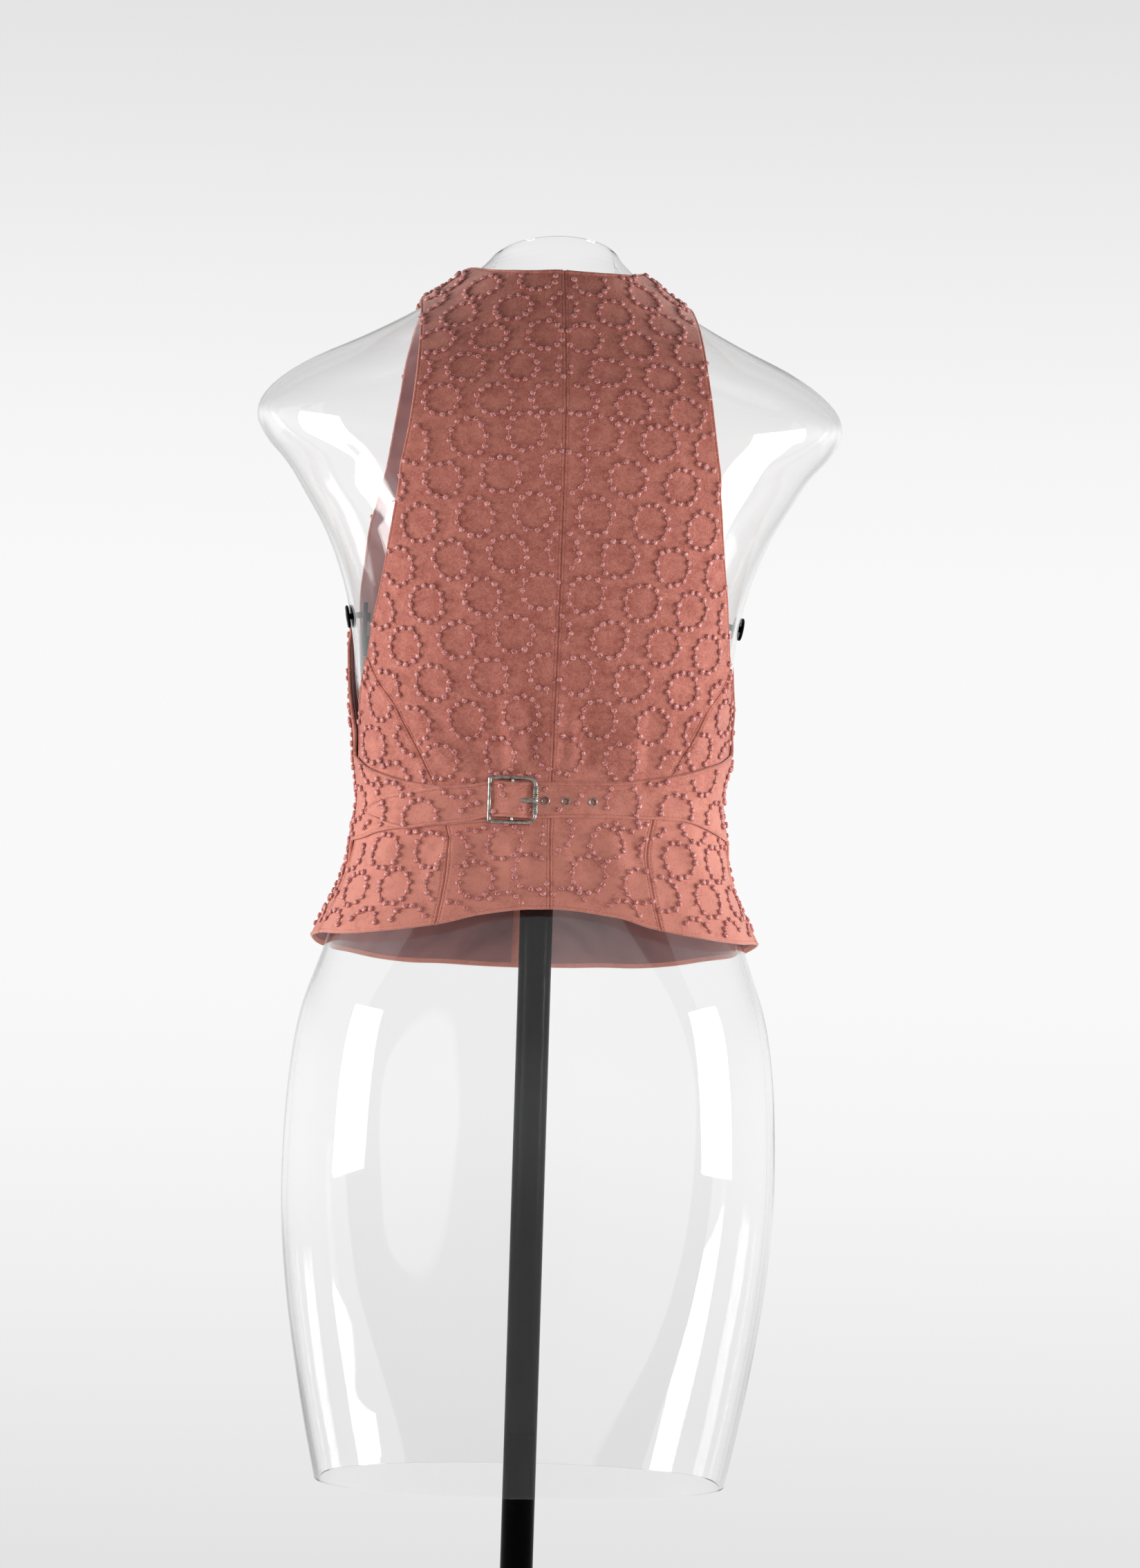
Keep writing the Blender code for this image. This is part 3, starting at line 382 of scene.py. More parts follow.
surfacePoints, surfaceNormals = clothTable()
degreeSize = np.linalg.norm(np.gradient(surfacePoints, axis=1), axis=-1) / 0.5
arcLength = np.zeros(degreeSize.shape)
arcLength[:, 1:] = np.cumsum(np.linalg.norm(np.diff(surfacePoints, axis=1), axis=-1), axis=1)
arcLength -= arcLength[:, [len(gridAngles) // 2]]
columnLength = np.repeat(gridHeights[:, None], len(gridAngles), 1)  # true length up the cloth over the shoulders
climbing = gridHeights > garment["shoulderStart"]
columnLength[climbing] = garment["shoulderStart"] + np.cumsum(
    np.linalg.norm(np.diff(surfacePoints, axis=0), axis=-1)[climbing[1:]], axis=0)
print("cloth surface worked out")


def tableAt(table, angle, height):
    angle, height = np.broadcast_arrays(np.asarray(angle, float), np.asarray(height, float))
    i = np.clip(height - gridHeights[0], 0, len(gridHeights) - 1.001)
    j = np.clip((angle - gridAngles[0]) / 0.5, 0, len(gridAngles) - 1.001)
    i0, j0 = i.astype(int), j.astype(int)
    fi, fj = i - i0, j - j0
    if table.ndim == 3:
        fi, fj = fi[..., None], fj[..., None]
    lower = table[i0, j0] * (1 - fj) + table[i0, j0 + 1] * fj
    upper = table[i0 + 1, j0] * (1 - fj) + table[i0 + 1, j0 + 1] * fj
    return lower * (1 - fi) + upper * fi


def clothAt(angle, height, lift=0.0):
    normal = tableAt(surfaceNormals, angle, height)
    normal = normal / np.linalg.norm(normal, axis=-1, keepdims=True)
    return tableAt(surfacePoints, angle, height) + normal * np.asarray(lift, float)[..., None], normal


def clothUv(angle, height):
    return np.stack([tableAt(arcLength, angle, height) * mm, np.asarray(height, float) * mm + 0 * angle], -1)


# Lines that the panels end on; angles are counted to one side and mirrored for the other

def hemHeight(angle):
    return columnsAt(hemLine, np.abs(angle))[0]


def climbed(degrees):  # the height that a climb over the shoulder is counted as
    return garment["shoulderStart"] + garment["wrapRadius"] * np.radians(degrees)


def frontTop(angle):
    return climbed(180 - garment["seamClimb"]) + 0 * angle


def backTop(angle):
    start = np.full(np.shape(angle), float(garment["shoulderStart"]))
    x = np.abs(sectionPoint(clothLine, angle, start)[..., 0])
    return climbed(np.minimum(columnsAt(backNeckLine, x)[0], garment["seamClimb"]))


def centreBack(height):
    return -0.06 + 0 * height


def backOuter(height):
    armhole, seam = columnsAt(backArmholeLine, height)[0], columnsAt(sideBackLine, height)[0]
    return seam + (armhole - seam) * np.clip((height - garment["sideBackTop"] + 2) / 4, 0, 1)


def sideBackInner(height):
    return columnsAt(sideBackLine, height)[0] - 0.08


def sideBackOuter(height):
    armhole = columnsAt(backArmholeLine, height)[0]
    return np.where(height > garment["armholeBottom"], armhole, garment["sideSeam"]) - 0.1


def frontOuter(height):
    armhole = columnsAt(frontArmholeLine, height)[0]
    return np.where(height > garment["armholeBottom"], armhole, garment["sideSeam"]) + 0.1


def frontInner(height):
    neck = columnsAt(neckLine, height)[0]
    return neck + garment["buttonStand"] * (1 - ease((height - 948) / 20))


# Meshes

def newMesh(name, points, faces, edges=()):
    mesh = bpy.data.meshes.new(name)
    mesh.from_pydata((points * mm).tolist(), list(edges), faces)
    return mesh


def wall(name, outer, inner, uv, material, cells=None):  # two grids of points, joined round the cells that are kept
    rows, columns = outer.shape[:2]
    cells = np.ones((rows - 1, columns - 1), bool) if cells is None else cells
    count = rows * columns
    i, j = np.nonzero(cells)
    loop = np.stack([i * columns + j, i * columns + j + 1, (i + 1) * columns + j + 1, (i + 1) * columns + j], 1)
    faces = [loop, loop[:, ::-1] + count]
    framed = np.pad(cells, 1)
    beside = (framed[:-2, 1:-1], framed[1:-1, 2:], framed[2:, 1:-1], framed[1:-1, :-2])
    for side, filled in enumerate(beside):
        bare = loop[~filled[i, j]]
        a, b = bare[:, side], bare[:, (side + 1) % 4]
        faces.append(np.stack([b, a, a + count, b + count], 1))
    faces = np.concatenate(faces)
    used = np.unique(faces)
    place = np.zeros(2 * count, int)
    place[used] = np.arange(len(used))
    faces = place[faces]
    points = np.concatenate([outer.reshape(-1, 3), inner.reshape(-1, 3)])[used]
    corners = points[faces]
    volume = sum((corners[:, 0] * np.cross(corners[:, k], corners[:, k + 1])).sum() for k in (1, 2))
    mesh = newMesh(name, points, (faces[:, ::-1] if volume < 0 else faces).tolist())
    corner = np.zeros(len(mesh.loops), dtype=np.int32)
    mesh.loops.foreach_get("vertex_index", corner)
    both = np.concatenate([uv.reshape(-1, 2)] * 2)[used]
    mesh.uv_layers.new(name="UVMap").data.foreach_set("uv", both[corner].astype(np.float32).ravel())
    mesh.shade_smooth()
    mesh.materials.append(material)
    return addObject(name, mesh)


# Panels: grids of angles and heights with close rows beside the edges

edgeValues = {
    "stitchAt": 2.2,  # mm in from an edge or a seam, and one of the steps below
    "corner": 0.85,  # how far a turned edge is rounded off
    "turned": 0.60, "turnedPull": 0.50,  # the rise of the doubled cloth, and the dip at its stitches
    "groove": 1.15, "seam": 0.42, "seamPull": 0.42,  # a pressed seam's groove, its rise and the dip at its stitches
}
edgeSteps = np.array([0, 0.3, 0.7, 1.2, 1.7, 2.2, 2.8, 3.8, 5.6, 8.5])  # mm in from an edge
stitchStep = int(np.argmin(np.abs(edgeSteps - edgeValues["stitchAt"])))
stitchPaths = []


def rimmed(count, first=True, last=True):
    starts = edgeSteps if first else np.array([0.0])
    ends = edgeSteps[::-1] if last else np.array([0.0])
    t = np.linspace(0, 1, count + 2)[1:-1]
    shift = starts[-1] * (1 - t) - ends[0] * t
    return np.concatenate([0 * starts, t, 1 + 0 * ends]), np.concatenate([starts, shift, -ends])


def level(height):
    return lambda angle: height + 0 * angle


def squeezed(room):
    return np.minimum(1, room / (2.4 * edgeSteps[-1]))


def leaning(edge, height, scale):  # how much longer a slanted edge is than its rise
    return np.hypot(1, (edge(height + 1) - edge(height - 1)) / 2 * scale)


def panelGrid(firstEdge, lastEdge, columns, blocks):
    share, shift = columns
    rows = []
    for number, (bottom, top, steps) in enumerate(blocks):
        keep = slice(None) if number == len(blocks) - 1 else slice(None, -1)
        rows.append((bottom, top, steps[0][keep, None], steps[1][keep, None]))
    height = 860 + np.zeros((sum(len(row[2]) for row in rows), len(share)))
    angle = 60 + np.zeros(height.shape)
    for _ in range(9):  # angles and heights depend on each other and settle in a few rounds
        scale = tableAt(degreeSize, angle, height)
        first, last = firstEdge(height), lastEdge(height)
        leanFirst, leanLast = leaning(firstEdge, height, scale), leaning(lastEdge, height, scale)
        lean = np.where(shift > 0, leanFirst, leanLast)
        angle = first + share * (last - first) + shift * squeezed((last - first) * scale) / scale * lean
        start = 0
        for bottom, top, rowShare, rowShift in rows:
            own = slice(start, start + len(rowShare))
            low, high = bottom(angle[own]), top(angle[own])
            height[own] = low + rowShare * (high - low) + rowShift * squeezed(high - low)
            start += len(rowShare)
    return {
        "angle": angle, "height": height,
        "first": (angle - first) * scale / leanFirst, "last": (last - angle) * scale / leanLast,
        "bottom": height - blocks[0][0](angle), "top": blocks[-1][1](angle) - height,
    }


def edgeFall(d):  # the rounding of a turned edge
    return edgeValues["corner"] * (1 - np.sqrt(1 - (1 - np.clip(d, 0, 1)) ** 2))


def dip(d, at, depth, halfWidth):
    return depth * np.exp(-(((d - at) / halfWidth) ** 2))


def turnedRidge(d):  # the doubled cloth up to the stitches, and the dip that they pull
    v = edgeValues
    return v["turned"] * np.sin(np.pi * np.clip(d / v["stitchAt"], 0, 1)) - dip(d, v["stitchAt"], v["turnedPull"], 0.45)


def seamRidge(d):  # the groove of a pressed seam and the topstitching beside it
    v = edgeValues
    ridge = v["seam"] * ease(d / 0.9) * (1 - ease((d - 1.5) / 7))
    return ridge - dip(d, 0, v["groove"], 0.55) - dip(d, v["stitchAt"], v["seamPull"], 0.4)


def faceLifts(turned, seams):
    fall = np.max([edgeFall(d) for d in turned], axis=0) if turned else 0
    extra = sum(turnedRidge(d) for d in turned) + sum(seamRidge(d) for d in seams)
    return extra - fall, fall


def keepStitches(points, normals, *lines):
    stitchPaths.extend((points[line], normals[line]) for line in lines)


def clothPanel(name, side, grid, turned, seams, material):
    angle, height = side * grid["angle"], grid["height"]
    outerLift, innerLift = faceLifts([grid[k] for k in turned], [grid[k] for k in seams])
    outer, normal = clothAt(angle, height, outerLift)
    inner, _ = clothAt(angle, height, innerLift - garment["clothThick"])
    near, far = stitchStep, -1 - stitchStep
    lines = {"bottom": np.s_[near, :], "top": np.s_[far, :], "first": np.s_[:, near], "last": np.s_[:, far]}
    keepStitches(outer, normal, *[lines[which] for which in (*turned, *seams)])
    return wall(name, outer, inner, clothUv(angle, height), material)


backPanels = {
    "back": {
        "edges": (centreBack, backOuter, backTop), "columns": 38, "rows": 150, "turned": ("bottom", "top"),
        "seams": ("first", "last"), "flat": (0.13, 0.505), "area": 0.0515,
    },
    "side_back": {
        "edges": (sideBackInner, sideBackOuter, level(garment["sideBackTop"] - 2)), "columns": 26, "rows": 58,
        "turned": ("bottom", "last"), "seams": ("first",), "flat": (0.11, 0.192), "area": 0.0137,
    },
}


def makeBackPanels(material):
    for panel, v in backPanels.items():
        first, last, top = v["edges"]
        grid = panelGrid(first, last, rimmed(v["columns"]), ((hemHeight, top, rimmed(v["rows"])),))
        for side, word in bothSides:
            piece = clothPanel(f"wool_{panel}_{word}", side, grid, v["turned"], v["seams"], material)
            finish(piece, "wool_flannel", f"{panel}_{word}")


def smoothLift(rows):
    at, lift = np.array(rows, float).T
    places = np.arange(at[0] - 3, at[-1] + 3, 0.25)
    window = np.hanning(13)
    spread = np.convolve(np.interp(places, at, lift), window / window.sum(), mode="same")
    spread[:8], spread[-8:] = lift[0], lift[-1]
    return lambda angle: np.interp(angle, places, spread)


fronts = {
    "left": {
        "side": -1, "line": leftStrapLine, "tip": 14.0, "coversFrom": 12.0, "laps": 0,
        "lift": smoothLift(((-90, 0.6), (90, 0.6))), "flat": (0.33, 0.525), "area": 0.0785,
    },
    "right": {
        "side": 1, "line": rightStrapLine, "tip": -74.5, "coversFrom": -75.5, "laps": 1,
        "lift": smoothLift(rightStrapLift), "flat": (0.49, 0.525), "area": 0.0830,
    },
}
eyelets = {"angles": (-2.6, 6.7, 18.5), "height": 806.0, "hole": 1.9, "barrel": 2.3, "flange": 3.1}


def strapEnds(line, angle):
    top, bottom = columnsAt(line, angle)
    return bottom, top


def frontLift(front, angle, height):  # of the cloth's outer face, on the strap and beside it
    bottom, top = strapEnds(front["line"], float(garment["sideSeam"]))
    one = garment["layerGap"] + garment["clothThick"]
    beside = ease((garment["sideSeam"] + garment["stepWidth"] - angle) / garment["stepWidth"])
    beyond = np.maximum(bottom - height, height - top)
    step = beside * ease(1 - beyond / garment["stepFade"])
    lap = front["laps"] * ease((angle - garment["lapStart"]) / 9)
    onStrap = front["lift"](angle) + garment["clothThick"]
    return np.where(angle < garment["sideSeam"], onStrap, one * (step + lap))


def strapAngles(front):
    tip, end = front["tip"], garment["sideSeam"] + 0.1
    size = tableAt(degreeSize, front["side"] * tip, 800.0)
    places = [tip + edgeSteps / size, np.arange(tip + 10 / size, end - 1, 1.6)]
    if front["side"] > 0:
        for eyelet in eyelets["angles"]:
            places.append(np.linspace(eyelet - 2.1, eyelet + 2.1, 11))
    angles = np.sort(np.concatenate(places))
    keep = np.concatenate([[True], np.diff(angles) > 0.12])
    return angles[keep]


def makeFront(word, material):
    front = fronts[word]
    side, line = front["side"], front["line"]
    seamBottom, seamTop = strapEnds(line, float(garment["sideSeam"]))
    belt = rimmed(12)
    blocks = (
        (hemHeight, level(seamBottom), rimmed(28, last=False)),
        (level(seamBottom), level(seamTop), belt),
        (level(seamTop), frontTop, rimmed(112, first=False)),
    )
    body = panelGrid(frontOuter, frontInner, rimmed(52), blocks)
    columns = strapAngles(front)
    count = len(columns)
    shape = (body["angle"].shape[0], count + body["angle"].shape[1])
    angle, height, edge = np.zeros(shape), np.full(shape, 800.0), np.full(shape, 50.0)
    angle[:, count:], height[:, count:] = body["angle"], body["height"]
    angle[:, :count] = columns
    low, high = strapEnds(line, columns)
    start = len(blocks[0][2][0]) - 1
    strapRows = slice(start, start + len(belt[0]))
    height[strapRows, :count] = low + belt[0][:, None] * (high - low) + belt[1][:, None] * squeezed(high - low)
    # distances to the turned edges: of the strap, then of the front, whose side has the strap growing out of it
    slope, slopeLow = (np.gradient(at, columns) / tableAt(degreeSize, side * columns, at) for at in (high, low))
    strapEdge = np.minimum((high - height[:, :count]) / np.hypot(1, slope),
                           (height[:, :count] - low) / np.hypot(1, slopeLow))
    fromTip = (columns - columns[0]) * tableAt(degreeSize, side * columns[0], 795.0)
    edge[:, :count] = np.minimum(np.maximum(strapEdge, 0), fromTip)
    inBelt = np.maximum(np.minimum(body["height"] - seamBottom, seamTop - body["height"]), 0)
    fromSide = np.hypot(np.maximum(body["first"], 0), inBelt)
    edge[:, count:] = np.min([fromSide, body["last"], body["bottom"], body["top"]], axis=0)
    lift = frontLift(front, angle, height)
    outer, normal = clothAt(side * angle, height, lift - edgeFall(edge) + turnedRidge(edge))
    inner, _ = clothAt(side * angle, height, lift - garment["clothThick"] + edgeFall(edge))
    cells = np.zeros((shape[0] - 1, shape[1] - 1), bool)
    cells[:, count:] = True
    cells[strapRows.start:strapRows.stop - 1, :count] = True
    middle = (outer[:-1, :-1] + outer[1:, 1:]) / 2
    for eyelet in eyelets["angles"] if word == "right" else ():
        centre, _ = clothAt(eyelet, eyelets["height"], frontLift(front, eyelet, eyelets["height"]))
        cells &= np.linalg.norm(middle - centre, axis=-1) > eyelets["barrel"]
    piece = wall(f"wool_front_{word}", outer, inner, clothUv(side * angle, height), material, cells)
    keepFrontStitches(outer, normal, count, strapRows)
    finish(piece, "wool_flannel", f"front_{word}")


def keepFrontStitches(outer, normal, count, strapRows):
    low, high = strapRows.start + stitchStep, strapRows.stop - 1 - stitchStep
    end = outer.shape[0] - stitchStep
    column = count + stitchStep
    above, below = np.arange(strapRows.stop - 1 + stitchStep, end), np.arange(stitchStep, strapRows.start - stitchStep)
    strap = np.arange(stitchStep, column)
    keepStitches(outer, normal, (low, strap), (high, strap), (above, column), (below, column),
                 (np.arange(low, high + 1), stitchStep), np.s_[stitchStep, column:],
                 (np.arange(stitchStep, end), -1 - stitchStep))


def makeLinings(material):
    for word, front in fronts.items():
        blocks = ((lambda angle: hemHeight(angle) + 3.5, frontTop, rimmed(96)),)
        grid = panelGrid(frontOuter, lambda height: frontInner(height) - 9, rimmed(34), blocks)
        angle, height = front["side"] * grid["angle"], grid["height"]
        ripple = 0.22 * np.sin(height / 7.5 + np.sin(angle / 9) * 2)
        ripple = ripple * ease(grid["first"] / 12) * ease(grid["bottom"] / 12)
        depth = -(garment["clothThick"] + garment["liningGap"])
        fall = np.minimum(edgeFall(np.minimum(grid["first"], grid["bottom"]) / 0.5) * 0.4, 0.35)
        outer, _ = clothAt(angle, height, depth - fall)
        inner, _ = clothAt(angle, height, depth - garment["liningThick"] + fall - np.abs(ripple))
        piece = wall(f"satin_lining_{word}", outer, inner, clothUv(angle, height), material)
        finish(piece, "satin_lining", f"lining_{word}")


# Knots and stitches

ringValues = {
    "knots": 12, "radius": 12.6, "knotRadius": 2.05, "knotHeight": 2.3,
    "flatFrom": 1064, "flatShare": 0.84,  # the rings near the shoulders are drawn flatter
    "room": 1.6,  # mm from a knot's middle to an edge or a strap
    "looseShare": 0.45,  # rings with a loose thread end
}
threadValues = {"radius": 0.34, "lift": 0.45, "stitch": 2.1, "stitchRadius": 0.22, "pitch": 2.8}
ringRows = {
    # one repeat of rings: a ring's place along the cloth and up it, the step along a row, the step to
    # the next row, and the lowest and highest rings' heights, in mm
    "back_left": (((-68.3, 1101.1), (37.1, 1.4), (17.0, 24.4), 1064, 1300),
                  ((-43.0, 1026.5), (39.7, 4.9), (16.5, 29.4), 804, 1064),
                  ((-31.9, 776.8), (38.3, 6.9), (18.7, 26.3), 690, 804)),
    "back_right": (((29.8, 1100.2), (38.6, -3.0), (21.5, 21.8), 1064, 1300),
                   ((43.9, 1026.0), (39.8, -3.6), (22.0, 25.4), 804, 1064),
                   ((41.0, 778.1), (37.7, -6.9), (14.4, 21.5), 690, 804)),
    "side_back_left": (((-104.7, 846.7), (37.0, 5.5), (10.4, 29.4), 804, 930),
                       ((-85.1, 770.4), (38.0, 2.5), (-11.8, 24.0), 690, 804)),
    "side_back_right": (((116.2, 843.2), (37.0, -5.5), (-10.4, 29.4), 804, 930),
                        ((96.4, 767.5), (40.0, -2.5), (14.0, 24.0), 690, 804)),
    "front_left": (((-115.0, 804.0), (40.0, 4.4), (19.0, 27.6), 670, 1300),),
    "front_right": (((7.3, 812.3), (42.0, -5.6), (25.0, 24.8), 670, 1300),),
    "strap_end": (((-89.2, 791.6), (40.5, -1.0), (26.0, 27.0), 770, 840),),
}


def ringSpots(rows):
    spots = []
    for (u0, v0), along, up, lowest, highest in rows:
        for i in range(-16, 17):
            for j in range(-16, 17):
                u, v = u0 + i * along[0] + j * up[0], v0 + i * along[1] + j * up[1]
                if not (lowest <= v < highest and gridHeights[0] < v):
                    continue
                reached = arcLength[int(min(v, garment["shoulderStart"]) - gridHeights[0])]
                if reached[0] < u < reached[-1]:
                    angle = np.interp(u, reached, gridAngles)
                    column = int(round((angle - gridAngles[0]) / 0.5))
                    spots.append((angle, np.interp(v, columnLength[:, column], gridHeights)))
    return np.array(spots)


def aroundSpot(angle, height, across, upward):
    sideStep = tableAt(surfacePoints, angle + 0.5, height) - tableAt(surfacePoints, angle - 0.5, height)
    upStep = (tableAt(surfacePoints, angle, height + 1) - tableAt(surfacePoints, angle, height - 1)) / 2
    size = np.linalg.norm(sideStep, axis=-1, keepdims=True)
    right = sideStep / size
    up = np.cross(tableAt(surfaceNormals, angle, height), right)
    climb = upward / (upStep * up).sum(-1)
    turn = (across - climb * (upStep * right).sum(-1)) / size[..., 0]
    return angle + turn, height + climb


def strapCovers(word, angle, height):  # places under a strap, with angles counted to the right of the back
    front, margin = fronts[word], ringValues["room"]
    own = front["side"] * angle
    top, bottom = columnsAt(front["line"], own)
    return (own > front["coversFrom"]) & (own < 84) & (height > bottom - margin) & (height < top + margin)


def roomIn(firstEdge, lastEdge, top, side):
    def room(angle, height):
        own = side * angle
        scale = tableAt(degreeSize, angle, height)
        sideways = np.minimum((own - firstEdge(height)) * scale / leaning(firstEdge, height, scale),
                              (lastEdge(height) - own) * scale / leaning(lastEdge, height, scale))
        return np.minimum(sideways, np.minimum(height - hemHeight(own) - 2.5, top(own) - height - 1.5))
    return room


def knotRoom(name):  # how far inside its panel a place lies, under 0 where something covers it
    side = -1 if name.endswith("left") else 1
    panel = backPanels.get(name.rsplit("_", 1)[0])
    room = roomIn(*panel["edges"], side) if panel else frontRoom(name)

    def clear(angle, height):
        found = room(angle, height)
        if panel:
            covered = strapCovers("right", angle, height) | strapCovers("left", angle, height)
        elif name == "front_left":
            onStrap = side * angle < garment["sideSeam"] + 2
            covered = (onStrap & strapCovers("right", angle, height)) | (side * angle > 172)
        else:
            covered = False
        return np.where(covered, -1, found)
    return clear


def frontOf(name):
    return fronts["left" if name == "front_left" else "right"]


def frontRoom(name):
    front = frontOf(name)
    side, seam = front["side"], garment["sideSeam"]
    plain = roomIn(frontOuter, frontInner, frontTop, side)
    seamBottom, seamTop = strapEnds(front["line"], float(seam))

    def room(angle, height):
        own = side * angle
        bottom, top = strapEnds(front["line"], own)
        onStrap = np.minimum(np.minimum(height - bottom, top - height) - 0.4, (own - front["tip"]) * 1.9)
        found = np.where(own < seam, onStrap, plain(angle, height))
        nearSide = (height > seamBottom) & (height < seamTop) & (own < seam + 3)
        found = np.where((own >= seam) & nearSide, np.minimum(height - seamBottom, seamTop - height), found)
        return np.where(besideHardware(name, angle, height), -1, found) if side > 0 else found
    return room


# beside an eyelet, a button or one of the buckle's bars, or on the strap's other piece; the factors are
# the millimetres in a degree there
def besideHardware(name, angle, height):
    taken = angle > -18 if name == "strap_end" else angle < -18
    for eyelet in eyelets["angles"]:
        taken = taken | (np.hypot((angle - eyelet) * 1.6, height - eyelets["height"]) < 5.6)
    for place in buttonValues["heights"]:
        taken = taken | (np.hypot((angle - 180) * 2, height - place) < 11)
    fromBuckle = (angle - buckleValues["angle"]) * 1.57
    half = buckleValues["width"] / 2 - buckleValues["inset"]
    for bar in (-half, 1.5, half):
        taken = taken | ((np.abs(height - buckleValues["height"]) < 17) & (np.abs(fromBuckle - bar) < 3.2))
    return taken


def knotLift(name):
    if "back" in name:
        return lambda angle, height: 0 * angle
    front = frontOf(name)
    return lambda angle, height: frontLift(front, front["side"] * angle, height)


def ringSet(name):
    centres = ringSpots(ringRows[name])
    count = ringValues["knots"]
    start = dice.uniform(0, 2 * np.pi / count, len(centres))
    wheel = start[:, None] + 2 * np.pi * np.arange(count) / count
    reach = ringValues["radius"] * (1 + dice.normal(0, 0.035, wheel.shape))
    wheel = wheel + dice.normal(0, 0.035, wheel.shape)
    squash = 1 + dice.normal(0, 0.03, (len(centres), 1))
    flatter = np.where(centres[:, 1:] > ringValues["flatFrom"], ringValues["flatShare"], 1.0)
    angle, height = aroundSpot(
        np.repeat(centres[:, :1], count, 1), np.repeat(centres[:, 1:], count, 1),
        reach * np.cos(wheel) * squash, reach * np.sin(wheel) / squash * flatter)
    keep = knotRoom(name)(angle, height) > ringValues["room"]
    points, normals = clothAt(angle, height, knotLift(name)(angle, height))
    spots, facing, size, edges = [], [], [], []
    for r in range(len(centres)):
        placed = {}
        for k in np.nonzero(keep[r])[0]:
            placed[k] = len(spots)
            spots.append(points[r, k])
            facing.append(normals[r, k])
            size.append(1 + dice.normal(0, 0.07))
        for k in placed:
            following = (k + 1) % count
            if following in placed:
                edges.append((placed[k], placed[following]))
        if placed and dice.random() < ringValues["looseShare"]:  # a ring's loose thread ends
            k = list(placed)[dice.integers(len(placed))]
            for _ in range(2):
                turn = dice.uniform(0, 2 * np.pi)
                reachOut = dice.uniform(3.2, 5.5)
                tangent = np.cross(normals[r, k], [np.cos(turn), 0.3, np.sin(turn)])
                tangent = tangent / np.linalg.norm(tangent)
                edges.append((placed[k], len(spots)))
                spots.append(points[r, k] + tangent * reachOut + normals[r, k] * 0.7)
                facing.append(normals[r, k])
                size.append(0.0)
    return np.array(spots), np.array(facing), np.array(size), edges


def knotShape():  # a ball of wound thread with a dimple, standing on the cloth
    segments, rings = 12, 6
    points = [(0, 0, ringValues["knotHeight"] * 0.86)]
    for ring in range(1, rings):
        polar = np.pi * (0.02 + 0.84 * ring / (rings - 1) * 0.96)
        for k in range(segments):
            turn = 2 * np.pi * k / segments
            wound = 1 + 0.07 * np.cos(2 * turn + 2.6 * polar) + 0.05 * np.cos(3 * turn - 1.7 * polar)
            out = ringValues["knotRadius"] * np.sin(polar) * wound
            points.append((out * np.cos(turn), out * np.sin(turn),
                           ringValues["knotHeight"] * (0.47 + 0.53 * np.cos(polar) * wound)))
    points.append((0, 0, -0.1))
    faces = [[0, 1 + k, 1 + (k + 1) % segments] for k in range(segments)]
    for ring in range(rings - 2):
        for k in range(segments):
            a, b = 1 + ring * segments + k, 1 + ring * segments + (k + 1) % segments
            faces.append([a, a + segments, b + segments, b])
    last = 1 + (rings - 2) * segments
    faces += [[last + k, len(points) - 1, last + (k + 1) % segments] for k in range(segments)]
    return shapeObject("knot_shape", np.array(points), faces)


def stitchShape():  # one sewn stitch along X, sunk in at both ends
    length, radius, sides = threadValues["stitch"], threadValues["stitchRadius"], 6
    rings = ((-length / 2, 0.25, -0.25), (-length / 3, 0.9, 0.02), (length / 3, 0.9, 0.02), (length / 2, 0.25, -0.25))
    points = []
    for x, share, z in rings:
        for k in range(sides):
            turn = 2 * np.pi * k / sides
            points.append((x, radius * share * np.cos(turn), z + radius * share * np.sin(turn)))
    faces = []
    for ring in range(len(rings) - 1):
        for k in range(sides):
            a, b = ring * sides + k, ring * sides + (k + 1) % sides
            faces.append([a, b, b + sides, a + sides])
    faces.append(list(range(sides))[::-1])
    faces.append([len(points) - sides + k for k in range(sides)])
    return shapeObject("stitch_shape", np.array(points), faces)


def shapeObject(name, points, faces):
    mesh = newMesh(name, points, faces)
    mesh.shade_smooth()
    return addObject(name, mesh)


